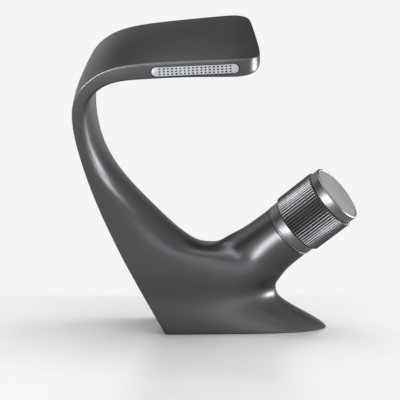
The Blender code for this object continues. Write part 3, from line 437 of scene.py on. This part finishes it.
# %% One section's ring of points
def section_ring(section):
    """The front edge, the round side, the back edge and the outer face, in that order."""
    front, back, depth = Vector(section.front), Vector(section.back), Vector(section.depth)
    middle = (front + back) / 2
    half = (front - back) / 2
    points = []
    for i in range(RING_INNER + 2):
        share = i / (RING_INNER + 1)
        angle = math.pi * share + math.pi * section.gather * math.sin(math.tau * share)
        along = math.copysign(abs(math.cos(angle)) ** (2 / section.power), math.cos(angle))
        out = abs(math.sin(angle)) ** (2 / section.power)
        points.append(middle + half * along + depth * out)
    for i in range(1, RING_OUTER + 1):
        along = 2 * i / (RING_OUTER + 1) - 1
        bow = CROWN * half.length * (1 - along * along)
        points.append(middle + half * along - depth.normalized() * bow)
    return points


def free_end(section):
    """The rings that round the spout's free corners in plan."""
    front, back, depth = Vector(section.front), Vector(section.back), Vector(section.depth)
    way = (back - front).normalized()
    rings = []
    for i, share in enumerate(BLADE_EDGE):
        angle = math.pi / 2 * i / (len(BLADE_EDGE) - 1)
        inset = way * BLADE_CORNER * (1 - math.cos(angle))
        reach_x = Vector((BLADE_CORNER * math.sin(angle), 0, 0))
        skew = Vector((BLADE_SKEW * math.sin(angle), 0, 0))
        rings.append(section._replace(
            front=front + inset + reach_x, back=back - inset + reach_x - skew, depth=depth * share))
    return rings


# %% [markdown]
# ## The stem
#
# The stem is a straight tube that melts into the body with a wide soft fillet. Its first rings lean
# with the hole they grow from, each a little wider than the stem, and the last one lies square to
# the knob's axis. A subdivision surface draws a ring of points inwards, so the points stand a little
# outside the radius that is wanted.

# %% The stem's rings
STEM_RINGS = (5, 8)  # the sections just under and over the stem
STEM_COLUMNS = (2, 7)  # the ring points either side of it
STEM_TURN = math.radians(213.75)  # where the hole's first corner lies round the stem
STEM_SIDES = 16
STEM_WALL = 2.1
CHAMBER_RADIUS = 13.0
STEM_RADIUS = CHAMBER_RADIUS + STEM_WALL
SEAL_LINE = 0.45  # the thin dark line between stem and collar
COLLAR_SPIGOT = 3.4
STEM_END = collar_low + COLLAR_SPIGOT
# Distance along the axis at a ring's upper and lower side, and how far it stands out from the stem
FLARE = [(25.0, 32.0, 2.5), (32.0, 37.0, 0.8), (41.0, 43.0, 0.1)]
print(f"the stem ends {STEM_END:.1f} mm along the axis")


def stem_point(k, upper, lower, radius):
    step = math.tau / STEM_SIDES
    angle = STEM_TURN + step * k
    radius *= 6 / (4 + 2 * math.cos(step))
    height = (upper + lower) / 2 + (upper - lower) / 2 * math.sin(angle)
    side = BACKWARD * math.cos(angle) + ABOVE * math.sin(angle)
    return AXIS_START / MM + ALONG * height + side * radius


# %% The whole cage
# The rounding of the shorter edges, as a share of the long edges' rounding
END_ROUNDING = 0.1
BASE_ROUNDING = 0.4


def body_cage():
    """Every section, the free end, and the stem, with the crisp edges creased and weighted."""
    shape = bmesh.new()
    crease = shape.edges.layers.float.new("crease_edge")
    weight = shape.edges.layers.float.new("bevel_weight_edge")
    sections = SECTIONS[:-1] + free_end(SECTIONS[-1])
    rings = [[shape.verts.new(p) for p in section_ring(s)] for s in sections]
    count = len(rings[0])
    low, high = STEM_RINGS
    first, last = STEM_COLUMNS
    for r, (lower, upper) in enumerate(zip(rings, rings[1:])):
        for i in range(count):
            if low <= r < high and first <= i < last:
                continue
            j = (i + 1) % count
            shape.faces.new((lower[i], lower[j], upper[j], upper[i]))
    shape.faces.new(rings[0][::-1])
    end = rings[-1]
    for i in range(count // 2 - 1):
        shape.faces.new((end[-i % count], end[i + 1], end[i + 2], end[(-i - 1) % count]))

    def sharpen(a, b, share=1.0):
        edge = shape.edges.get((a, b))
        edge[crease] = 1.0
        edge[weight] = share

    back = RING_INNER + 1
    corner = len(SECTIONS) - 1
    for r, (lower, upper) in enumerate(zip(rings, rings[1:])):
        share = 1.0 if r < corner else END_ROUNDING
        sharpen(lower[0], upper[0], share)
        sharpen(lower[back], upper[back], share)
    for i in range(count):
        sharpen(rings[0][i], rings[0][(i + 1) % count], BASE_ROUNDING)
    for i in range(back, count):
        sharpen(end[i], end[(i + 1) % count], END_ROUNDING)

    hole = rings[low][first:last + 1]
    hole += [rings[r][last] for r in range(low + 1, high)]
    hole += rings[high][first:last + 1][::-1]
    hole += [rings[r][first] for r in range(high - 1, low, -1)]
    previous = hole
    for upper, lower, out in FLARE + [(STEM_END, STEM_END, 0)]:
        ring = [shape.verts.new(stem_point(k, upper, lower, STEM_RADIUS + out)) for k in range(STEM_SIDES)]
        for i in range(STEM_SIDES):
            j = (i + 1) % STEM_SIDES
            shape.faces.new((previous[i], previous[j], ring[j], ring[i]))
        previous = ring
    shape.faces.new(previous)
    for i in range(STEM_SIDES):
        sharpen(previous[i], previous[(i + 1) % STEM_SIDES], BASE_ROUNDING)
    return shape


# %% [markdown]
# ## Smoothing and edges
#
# Three levels of subdivision leave facets far finer than the eye sees. A full crease keeps the long
# edges at one place, and a small bevel along just those edges, chosen by their bevel weight, turns
# each into the narrow polished rounding that catches a thin line of light along the spout.

# %% The smooth casting
SMOOTH_LEVELS = 3
EDGE_ROUNDING = 0.56

casting = new_object("body_casting", body_cage())
smooth = casting.modifiers.new("smooth", "SUBSURF")
smooth.levels = SMOOTH_LEVELS
smooth.render_levels = SMOOTH_LEVELS
edges = casting.modifiers.new("edges", "BEVEL")
edges.width = EDGE_ROUNDING * MM
edges.segments = 3
edges.limit_method = "WEIGHT"
edges.use_clamp_overlap = True

# %% [markdown]
# ## The mouth of the spout
#
# Water leaves through a long slot with round ends in the spout's front edge. The slot is cut square
# to that edge, so it needs a frame of its own: along the edge, up the face, and out towards the
# user. A cutter that widens a little at the surface leaves a fine chamfer all round the slot.

# %% The slot's frame and cutter
SLOT_X = -10.4  # of its middle
SLOT_LENGTH = 40.6
SLOT_HEIGHT = 5.0
SLOT_DEPTH = 7.0
SLOT_BELOW_EDGE = 4.2  # of its middle, from the spout's top edge
SLOT_CHAMFER = 0.25
SLOT_FLARE = 2.0  # how far the cutter goes on widening, out of the surface

left, right = Vector(SECTIONS[-4].front), Vector(SECTIONS[-1].front)
spray_out = (left - Vector(SECTIONS[-4].back)).normalized()
edge_way = right - left
mouth = left + edge_way * ((SLOT_X - left.x) / edge_way.x)
spray_across = (edge_way - spray_out * edge_way.dot(spray_out)).normalized()
spray_up = spray_out.cross(spray_across)
SPRAY_FRAME = place((mouth - spray_up * SLOT_BELOW_EDGE) * MM, spray_across, spray_up, spray_out)

wide = stadium(
    SLOT_LENGTH + 2 * SLOT_CHAMFER + 2 * SLOT_FLARE, SLOT_HEIGHT + 2 * SLOT_CHAMFER + 2 * SLOT_FLARE)
slot_cutter = stacked([
    (stadium(SLOT_LENGTH, SLOT_HEIGHT), -SLOT_DEPTH),
    (stadium(SLOT_LENGTH, SLOT_HEIGHT), -SLOT_CHAMFER),
    (wide, SLOT_FLARE),
])
slot_cutter = new_object("slot_cutter", slot_cutter, SPRAY_FRAME)

# %% The bores
CARTRIDGE_SEAT = 19.5
STUD_X, STUD_GRIP = -10.0, 10.0
STUD_RADIUS = 4.0
STUD_GAP = 0.3
INLET_X, INLET_Y, INLET_RADIUS, INLET_DEPTH = 4.0, 8.5, 4.5, 12.0
GROOVE_RADIUS, GROOVE_WIDTH, GROOVE_DEPTH = 21.5, 3.0, 2.0

chamber = new_object("chamber", rod(CHAMBER_RADIUS, CARTRIDGE_SEAT, STEM_END + 5, ROUND), KNOB_AXIS)
stud_hole = moved(rod(STUD_RADIUS + STUD_GAP, -PAST, STUD_GRIP + STUD_GAP), (STUD_X, 0, 0))
stud_hole = new_object("stud_hole", stud_hole)
half = GROOVE_WIDTH / 2
groove = turned([
    (GROOVE_RADIUS - half, -PAST), (GROOVE_RADIUS - half, GROOVE_DEPTH),
    (GROOVE_RADIUS + half, GROOVE_DEPTH), (GROOVE_RADIUS + half, -PAST),
])
groove = new_object("gasket_groove", groove)
cutters = [slot_cutter, chamber, stud_hole, groove]
for side in (-1, 1):
    inlet = moved(rod(INLET_RADIUS, -PAST, INLET_DEPTH), (INLET_X, side * INLET_Y, 0))
    cutters.append(new_object(f"inlet_{side}", inlet))
for cutter in cutters:
    boolean(casting, cutter)
keep(casting, cutters)
hand_over(casting, "faucet", "gunmetal", satin, "body")

# %% [markdown]
# ## The fluted sleeve
#
# A straight knurl gives wet fingers their grip. Each ridge is a rounded bar with a sharp valley on
# either side, which is why it flashes one thin line of light. A texture could fake the lines, but not
# the toothed outline, so the ridges are real: one formula gives the radius at any angle, and the
# ends of the ridges are turned down by a small chamfer.

# %% The sleeve
FLUTES = 64
FLUTE_DEPTH = 0.9
FLUTE_STEPS = 10  # points across one ridge
FLUTE_CHAMFER = 0.45
FLUTE_RUNOUT = 0.05  # how far under the valleys the sleeve's ends are turned down
FLUTE_POWER = 1.7  # 2 makes a ridge a parabola, and 1 a sharp roof
SLEEVE_WALL = 3.6
SET_HOLE_RADIUS = 2.3  # lets a key reach the set screw, on the underside
sleeve_radius = reach("knob_sleeve")


def ridge_outline(radius, depth):
    """An outline of rounded ridges, as (x, y) points."""
    points = []
    count = FLUTES * FLUTE_STEPS
    for i in range(count):
        angle = math.tau * i / count
        across = abs(2 * ((i % FLUTE_STEPS) / FLUTE_STEPS) - 1)
        r = radius - depth * across ** FLUTE_POWER
        points.append((r * math.cos(angle), r * math.sin(angle)))
    return points


def sleeve_shape(bore, low, high):
    end_radius = sleeve_radius - FLUTE_DEPTH - FLUTE_RUNOUT
    full = ridge_outline(sleeve_radius, FLUTE_DEPTH)
    start = ridge_outline(end_radius, 0.0)
    hollow = [(x * bore / end_radius, y * bore / end_radius) for x, y in start]
    shape = bmesh.new()
    levels = [
        (hollow, low), (start, low), (full, low + FLUTE_CHAMFER), (full, high - FLUTE_CHAMFER),
        (start, high), (hollow, high),
    ]
    rings = [[shape.verts.new((x, y, z)) for x, y in outline] for outline, z in levels]
    for lower, upper in zip(rings, rings[1:] + rings[:1]):
        for i in range(len(full)):
            j = (i + 1) % len(full)
            shape.faces.new((lower[i], lower[j], upper[j], upper[i]))
    return shape


sleeve_bore = sleeve_radius - SLEEVE_WALL
sleeve = new_object("fluted_sleeve", sleeve_shape(sleeve_bore, sleeve_low, sleeve_high), KNOB_AXIS)
key_hole = rod(SET_HOLE_RADIUS, sleeve_bore - PAST, sleeve_radius + PAST)
bmesh.ops.rotate(key_hole, verts=key_hole.verts, matrix=Matrix.Rotation(math.pi / 2, 3, "X"))
moved(key_hole, (0, 0, sum(span("set_screw")) / 2))
key_hole = new_object("key_hole", key_hole, KNOB_AXIS)
boolean(sleeve, key_hole)
keep(sleeve, [key_hole])
hand_over(sleeve, "knob", "gunmetal", satin, "knob_sleeve")

# %% [markdown]
# ## The cap and the collar
#
# Both are plain turned bands, and what makes them look machined is their edges. The cap has a
# polished chamfer round a face that is sunk by a hair. The collar has a fine bead next to the stem
# with a groove beside it, which reads as a thin double line.

# %% The cap
CAP_STEP = 0.9  # how far it stands in from the sleeve
CAP_SPIGOT = 3.0
CAP_CHAMFER = 0.45
CAP_RIM = 0.55
CAP_SINK = 0.18
CAP_CORNER = 0.12  # rounding of its corners
FIT = 0.3  # the gap round a piece that slips into another
band_low = cap_low + CAP_SPIGOT
cap_radius = sleeve_radius - CAP_STEP
spigot = sleeve_bore - FIT
cap_profile = [
    (0, cap_low), (spigot, cap_low), (spigot, band_low), (cap_radius, band_low),
    (cap_radius, cap_high - CAP_CHAMFER), (cap_radius - CAP_CHAMFER, cap_high),
    (cap_radius - CAP_CHAMFER - CAP_RIM, cap_high),
    (cap_radius - CAP_CHAMFER - CAP_RIM - CAP_SINK, cap_high - CAP_SINK), (0, cap_high - CAP_SINK),
]
cap = keep(new_object("end_cap", turned(rounded(cap_profile, CAP_CORNER, 3)), KNOB_AXIS))
hand_over(cap, "knob", "gunmetal_face", grip, "knob_cap")
cap.data.materials.append(face)
face_radius = (cap_radius - CAP_CHAMFER - CAP_RIM) * MM
upright = KNOB_AXIS.inverted()
for polygon in cap.data.polygons:
    middle = upright @ polygon.center
    on_face = middle.z > (cap_high - CAP_SINK - 0.05) * MM and math.hypot(middle.x, middle.y) < face_radius
    polygon.material_index = 1 if on_face else 0

# %% The collar
collar_radius = reach("trim_collar")
COLLAR_BORE = 11.7
SPIGOT_RADIUS = 12.6
COLLAR_CORNER = 0.15  # rounding of its corners
BEAD = 0.55  # its length along the axis
BEAD_GROOVE_DEPTH, BEAD_GROOVE_SLOPE, BEAD_GROOVE_FLOOR = 0.3, 0.1, 0.2
shoulder = collar_low + COLLAR_SPIGOT + SEAL_LINE
groove_start = shoulder + BEAD
groove_floor = groove_start + BEAD_GROOVE_SLOPE
groove_end = groove_floor + BEAD_GROOVE_FLOOR + BEAD_GROOVE_SLOPE
collar_profile = [
    (COLLAR_BORE, collar_low), (SPIGOT_RADIUS, collar_low), (SPIGOT_RADIUS, shoulder),
    (collar_radius, shoulder), (collar_radius, groove_start),
    (collar_radius - BEAD_GROOVE_DEPTH, groove_floor),
    (collar_radius - BEAD_GROOVE_DEPTH, groove_floor + BEAD_GROOVE_FLOOR),
    (collar_radius, groove_end), (collar_radius, collar_high), (COLLAR_BORE, collar_high),
]
collar = keep(new_object("collar_band", turned(rounded(collar_profile, COLLAR_CORNER, 3)), KNOB_AXIS))
hand_over(collar, "faucet", "gunmetal", grip, "trim_collar")

# %% [markdown]
# ## The spray plate
#
# The plate is a moulded strip with three rows of small holes, each a little wider than it is high.
# The holes are cut for real, because the dark of the slot behind has to show through them.

# %% The plate with its holes
PLATE_THICKNESS = 2.0
PLATE_SETBACK = 0.7
PLATE_EDGE = 0.35  # how far its edge is rounded
PLATE_EDGE_TURN = 0.1  # where that rounding turns
PLATE_GAP = 0.3  # all round, between the plate and its slot
SPRAY_PITCH, SPRAY_ROW_PITCH = 1.9, 1.25
SPRAY_HOLE_LENGTH, SPRAY_HOLE_HEIGHT = 1.0, 0.7
plate_length, plate_height = SLOT_LENGTH - 2 * PLATE_GAP, SLOT_HEIGHT - 2 * PLATE_GAP
plate_back = -PLATE_SETBACK - PLATE_THICKNESS

plate = new_object("spray_face", stacked([
    (stadium(plate_length, plate_height), plate_back),
    (stadium(plate_length, plate_height), -PLATE_SETBACK - PLATE_EDGE),
    (stadium(plate_length - 2 * PLATE_EDGE_TURN, plate_height - 2 * PLATE_EDGE_TURN),
     -PLATE_SETBACK - PLATE_EDGE_TURN),
    (stadium(plate_length - 2 * PLATE_EDGE, plate_height - 2 * PLATE_EDGE), -PLATE_SETBACK),
]), SPRAY_FRAME)
hole_outline = stadium(SPRAY_HOLE_LENGTH, SPRAY_HOLE_HEIGHT, 6)
holes = bmesh.new()
row_count = int((plate_length - plate_height) / SPRAY_PITCH)
for row in (-1, 0, 1):
    for i in range(row_count):
        hole = prism(hole_outline, plate_back - PAST, PAST)
        moved(hole, ((i - (row_count - 1) / 2) * SPRAY_PITCH, row * SPRAY_ROW_PITCH, 0))
        drilled = bpy.data.meshes.new("hole")
        hole.to_mesh(drilled)
        hole.free()
        holes.from_mesh(drilled)
        bpy.data.meshes.remove(drilled)
holes = new_object("spray_holes", holes, SPRAY_FRAME)
boolean(plate, holes)
keep(plate, [holes])
hand_over(plate, "faucet", "spray_plastic", spray_plastic, "spray_plate")
print("holes in the plate:", 3 * row_count)

# %% [markdown]
# ## Fixing it to the basin
#
# A threaded brass stud hangs from the body. Under the basin a rubber and a steel horseshoe slide
# round it and the hoses, and a nut pulls everything tight. A thread can be a bump, a helix made with
# the Screw modifier, or a formula. Here it is a formula: the radius rises and falls with the height
# and the angle together, and that is exactly what a helix is.

# %% The threaded stud
THREAD_PITCH = 1.25
THREAD_DEPTH = 0.45
THREAD_ROWS = 8  # rows of points in one turn


def threaded_rod(radius, low, high, sides=SMALL_ROUND):
    shape = bmesh.new()
    rows = int((high - low) / THREAD_PITCH * THREAD_ROWS)
    rings = []
    for row in range(rows + 1):
        height = low + (high - low) * row / rows
        fade = min(1, (height - low) / THREAD_PITCH, (high - height) / THREAD_PITCH)
        ring = []
        for k in range(sides):
            angle = math.tau * k / sides
            wave = abs(2 * ((height / THREAD_PITCH - k / sides) % 1) - 1)
            r = radius - THREAD_DEPTH * (1 - fade * wave)
            ring.append(shape.verts.new((r * math.cos(angle), r * math.sin(angle), height)))
        rings.append(ring)
    for lower, upper in zip(rings, rings[1:]):
        for i in range(sides):
            j = (i + 1) % sides
            shape.faces.new((lower[i], lower[j], upper[j], upper[i]))
    shape.faces.new(rings[0][::-1])
    shape.faces.new(rings[-1])
    return shape


stud_low, stud_high = (corner.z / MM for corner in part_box("mounting_stud"))
stud = new_object("threaded_stud", moved(threaded_rod(STUD_RADIUS, stud_low, stud_high), (STUD_X, 0, 0)))
keep(stud)
hand_over(stud, "faucet", "brass", brass, "mounting_stud")

# %% The nut
nut_low, nut_high = (corner.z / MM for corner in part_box("stud_nut"))
NUT_FLATS = 13.0
NUT_CHAMFER = 0.85  # how far its corners are turned down
NUT_LEAD = 1.0  # how much wider the bore's cutter is where it ends
NUT_LEAD_DEPTH = 0.6
corner_radius = NUT_FLATS / math.sqrt(3)
flat_radius = NUT_FLATS / 2 - 0.2
nut = new_object("hex_nut", prism(arc(corner_radius, 0, math.tau * 5 / 6, 5), nut_low, nut_high))
lens = new_object("nut_lens", turned([
    (0, nut_low - 0.1), (flat_radius, nut_low - 0.1), (corner_radius + 0.1, nut_low + NUT_CHAMFER),
    (corner_radius + 0.1, nut_high - NUT_CHAMFER), (flat_radius, nut_high + 0.1), (0, nut_high + 0.1),
]))
boolean(nut, lens, "INTERSECT")
nut_bore = STUD_RADIUS + STUD_GAP
bore = new_object("nut_bore", turned([
    (0, nut_low - PAST), (nut_bore + NUT_LEAD, nut_low - PAST), (nut_bore, nut_low + NUT_LEAD_DEPTH),
    (nut_bore, nut_high - NUT_LEAD_DEPTH), (nut_bore + NUT_LEAD, nut_high + PAST), (0, nut_high + PAST),
]))
boolean(nut, bore)
keep(nut, [lens, bore])
nut.data.transform(Matrix.Translation((STUD_X * MM, 0, 0)))
hand_over(nut, "faucet", "brass", brass, "stud_nut")

# %% The two horseshoes
CLAMP_RADIUS, CLAMP_SLOT, CLAMP_BRIDGE = 22.0, 22.0, 2.5
CLAMP_EDGE = 0.25


def horseshoe(name, node, slot, look):
    """A round plate with a hole for the stud and a gap for the hoses."""
    low, high = (corner.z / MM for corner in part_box(node))
    side = math.asin(CLAMP_SLOT / 2 / CLAMP_RADIUS)
    inner_x = STUD_X + STUD_RADIUS + STUD_GAP + CLAMP_BRIDGE + CLAMP_SLOT / 2
    inside = [(inner_x - y, x) for x, y in arc(CLAMP_SLOT / 2, 0, math.pi, 36)]
    outline = arc(CLAMP_RADIUS, side, math.tau - side, 90) + inside[::-1]
    made = new_object(name, prism(outline, low, high))
    hole = new_object("hole", moved(rod(STUD_RADIUS + STUD_GAP, low - PAST, high + PAST), (STUD_X, 0, 0)))
    boolean(made, hole)
    soften(made, CLAMP_EDGE)
    keep(made, [hole])
    hand_over(made, "faucet", slot, look, node)


horseshoe("rubber_horseshoe", "horseshoe_gasket", "rubber", rubber)
horseshoe("steel_horseshoe", "horseshoe_washer", "steel", steel)

# %% [markdown]
# ## Seals
#
# An o-ring has a round section, and a washer cut from sheet has only slightly rounded edges. Each is
# a closed outline turned round its axis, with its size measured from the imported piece, so a seal
# always fills the groove that was cut for it. The one between stem and collar is squeezed thinner
# here, because only a hair of it shows once the collar is tightened.

# %% Round and flat seals
def ring_size(node, axis_start, axis):
    """Inner radius, outer radius, lowest and highest point of a packed ring, round that axis."""
    radii, heights = [], []
    for v in frame["nodes"][node].data.vertices:
        way = v.co - axis_start
        heights.append(way.dot(axis) / MM)
        radii.append((way - axis * way.dot(axis)).length / MM)
    return min(radii), max(radii), min(heights), max(heights)


def ring_piece(name, node, round_share, look, slot, body="faucet", matrix=KNOB_AXIS, centre=AXIS_START,
               axis=ALONG, squeezed=None):
    """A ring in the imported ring's place. round_share 1 gives a round section, 0 a square one.

    squeezed is its height once it is tightened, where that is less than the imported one's.
    """
    inner, outer, low, high = ring_size(node, centre, axis)
    high = low + squeezed if squeezed else high
    corners = [(inner, low), (outer, low), (outer, high), (inner, high)]
    corner = round_share * min(outer - inner, high - low) / 2
    profile = rounded(corners, max(corner, 0.08), 6)
    made = keep(new_object(name, turned(profile, 96), matrix))
    hand_over(made, body, slot, look, node)


ring_piece("round_seal_on_base", "cartridge_o_ring", 1, rubber, "rubber")
ring_piece("round_seal_on_spindle", "spindle_o_ring", 1, rubber, "rubber")
ring_piece("seal_line_gasket", "trim_gasket", 0.6, rubber, "rubber", squeezed=SEAL_LINE)
ring_piece("slip_washer", "glide_washer", 0.2, white_plastic, "white_plastic")
UPRIGHT = Matrix.Identity(4)
ring_piece("base_seal", "base_gasket", 0.6, rubber, "rubber", "faucet", UPRIGHT, Vector(), Vector((0, 0, 1)))

# %% [markdown]
# ## Finishes for the pieces inside
#
# The discs, the housing and the rest of the cartridge already have their right shapes in the packed
# model. They only need their real finishes, each given by the piece's name.

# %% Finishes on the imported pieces
INSIDE = {
    white_plastic: [
        "cartridge_base", "cartridge_housing", "disc_carrier", "knob_insert", "flow_straightener",
    ],
    rubber: ["inlet_seal_hot", "inlet_seal_cold", "outlet_seal", "spray_gasket"],
    ceramic: ["fixed_disc", "moving_disc"],
    brass: ["cartridge_nut", "spindle"],
    steel: ["stop_ring", "knob_screw", "set_screw"],
}
for look, names in INSIDE.items():
    for name in names:
        slots = frame["nodes"][name].material_slots
        for index in range(len(slots)):
            slots[index].material = look
refinished = sum(len(names) for names in INSIDE.values())
print("new pieces:", len(made_pieces), "packed pieces with a new finish:", refinished)

# %% [markdown]
# ## The stand
#
# The faucet stands on a plain pale surface with a faint gloss, in a pale room. Dark satin metal shows
# little of its own: its shape is read from what it reflects. So the panels are placed by what each
# one draws. A low one in front, on the left, runs the long highlight along the stem. A low one close
# on the right lights the neck's inner bulge. A wide one overhead draws the thin line on the spout's
# front edge, and a small one behind it sets a spark in the saddle. The surface ends a little in front
# of the faucet, so that the low panel's light can reach the underside of the stem. The panels
# themselves aren't seen by the camera.

# %% The floor
FLOOR_HALF = 3.0
FLOOR_FRONT = -0.19
FLOOR_BACK = 0.118
FLOOR_DROP = 0.0003  # keeps it just clear of the body's underside

floor_shape = bmesh.new()
bmesh.ops.create_grid(floor_shape, x_segments=1, y_segments=1, size=FLOOR_HALF)
bmesh.ops.scale(floor_shape, verts=floor_shape.verts, vec=(1, (FLOOR_BACK - FLOOR_FRONT) / 2 / FLOOR_HALF, 1))
moved(floor_shape, (0, (FLOOR_FRONT + FLOOR_BACK) / 2, -FLOOR_DROP))
floor_mesh = bpy.data.meshes.new("floor")
floor_shape.to_mesh(floor_mesh)
floor_shape.free()
floor = bpy.data.objects.new("floor", floor_mesh)
bpy.context.scene.collection.objects.link(floor)
PALE = Finish((0.44, 0.44, 0.445), (0.47, 0.47, 0.475), 0.28, 0.4, 0.0, 3, 900, 0.000004, 1.0)
floor.data.materials.append(finish("pale_surface", PALE)[0])

# %% [markdown]
# ## The room
#
# A room isn't equally bright all round, and a dark coating shows that clearly. The wide top of the
# spout reflects the high far wall, so that part of the room is dark and the blade turns nearly black.
# The broad front of the body reflects the room behind the user, so that part is bright. A picture of
# a real room could do this, but a few broad soft patches on one even tone are easier to place.

# %% The light
world = bpy.data.worlds.new("studio")
bpy.context.scene.world = world
world.use_nodes = True
WALLS = 0.92  # brightness of the room wherever nothing is said
# Broad patches of the room that are darker or brighter than that: the way to the patch's middle, the
# angles from it within which the patch is full and beyond which it has gone, and its brightness
Patch = namedtuple("Patch", "azimuth height full gone brightness")
PATCHES = [
    Patch(5, 46, 16, 31, -0.88),
    Patch(-62, 36, 14, 34, 0.7),
    Patch(155, -4, 18, 38, 1.3),
    Patch(180, -42, 16, 34, -0.7),
]
room = world.node_tree
background = room.nodes["Background"]
background.inputs["Color"].default_value = (0.985, 0.99, 1.0, 1)
way = room.nodes.new("ShaderNodeTexCoord").outputs["Generated"]


def direction(azimuth, height):
    """The way to a point of the room. Azimuth 0 is behind the faucet, and 90 is to the right."""
    turn, lift = math.radians(azimuth), math.radians(height)
    return Vector((math.cos(lift) * math.sin(turn), math.cos(lift) * math.cos(turn), math.sin(lift)))


def add_patch(total, patch):
    near = room.nodes.new("ShaderNodeVectorMath")
    near.operation = "DOT_PRODUCT"
    room.links.new(way, near.inputs[0])
    near.inputs[1].default_value = direction(patch.azimuth, patch.height)
    fade = room.nodes.new("ShaderNodeMapRange")
    fade.interpolation_type = "SMOOTHSTEP"
    fade.inputs["From Min"].default_value = math.cos(math.radians(patch.gone))
    fade.inputs["From Max"].default_value = math.cos(math.radians(patch.full))
    fade.inputs["To Max"].default_value = patch.brightness
    room.links.new(near.outputs["Value"], fade.inputs["Value"])
    room.links.new(fade.outputs["Result"], total.inputs[1])
    step = room.nodes.new("ShaderNodeMath")
    room.links.new(total.outputs["Value"], step.inputs[0])
    return step


total = room.nodes.new("ShaderNodeMath")
total.inputs[0].default_value = WALLS
for patch in PATCHES:
    total = add_patch(total, patch)
total.inputs[1].default_value = 0.0
# The patches are for the metal to reflect: a look straight at the room sees only its walls
seen = room.nodes.new("ShaderNodeMix")
seen.inputs["B"].default_value = WALLS
room.links.new(room.nodes.new("ShaderNodeLightPath").outputs["Is Camera Ray"], seen.inputs["Factor"])
room.links.new(total.outputs["Value"], seen.inputs["A"])
room.links.new(seen.outputs["Result"], background.inputs["Strength"])
bpy.context.scene.view_settings.view_transform = "Standard"


def soft_panel(name, place_at, aim, width, height, brightness, spread=180):
    """A rectangular soft light that faces a point. Brightness is that of the panel's own face."""
    light = bpy.data.lights.new(name, "AREA")
    light.shape = "RECTANGLE"
    light.size = width
    light.size_y = height
    light.energy = brightness * math.pi * width * height
    light.spread = math.radians(spread)
    made = bpy.data.objects.new(name, light)
    made.location = place_at
    made.rotation_euler = (Vector(aim) - Vector(place_at)).to_track_quat("-Z", "Y").to_euler()
    made.visible_camera = False
    bpy.context.scene.collection.objects.link(made)


MIDDLE = Vector((0.0, -0.02, 0.06))  # of the faucet
soft_panel("front_panel", (-0.49, -0.77, -0.15), MIDDLE, 0.64, 0.36, 30)
soft_panel("right_panel", (0.32, 0.06, 0.045), (-0.06, -0.03, 0.10), 0.26, 0.10, 6, 70)
soft_panel("overhead_panel", (0.0, -0.32, 1.02), (0, -0.2, 0), 0.9, 1.15, 4.6)
soft_panel("spark_panel", (-0.08, 0.42, 0.84), MIDDLE, 0.12, 0.12, 14)

# %% The camera
CAMERA_PLACE = (-0.008, -0.600, 0.099)
CAMERA_DOWN = math.radians(2.94)
CAMERA_LENS = 99.9
camera = bpy.data.cameras.new("camera")
camera.lens = CAMERA_LENS
camera.sensor_width = 36
camera_object = bpy.data.objects.new("camera", camera)
camera_object.location = CAMERA_PLACE
camera_object.rotation_euler = (math.pi / 2 - CAMERA_DOWN, 0, 0)
bpy.context.scene.collection.objects.link(camera_object)
bpy.context.scene.camera = camera_object

# %% [markdown]
# ## The last step
#
# The last cell brings every object's place in the scene up to date.


bpy.context.view_layer.update()
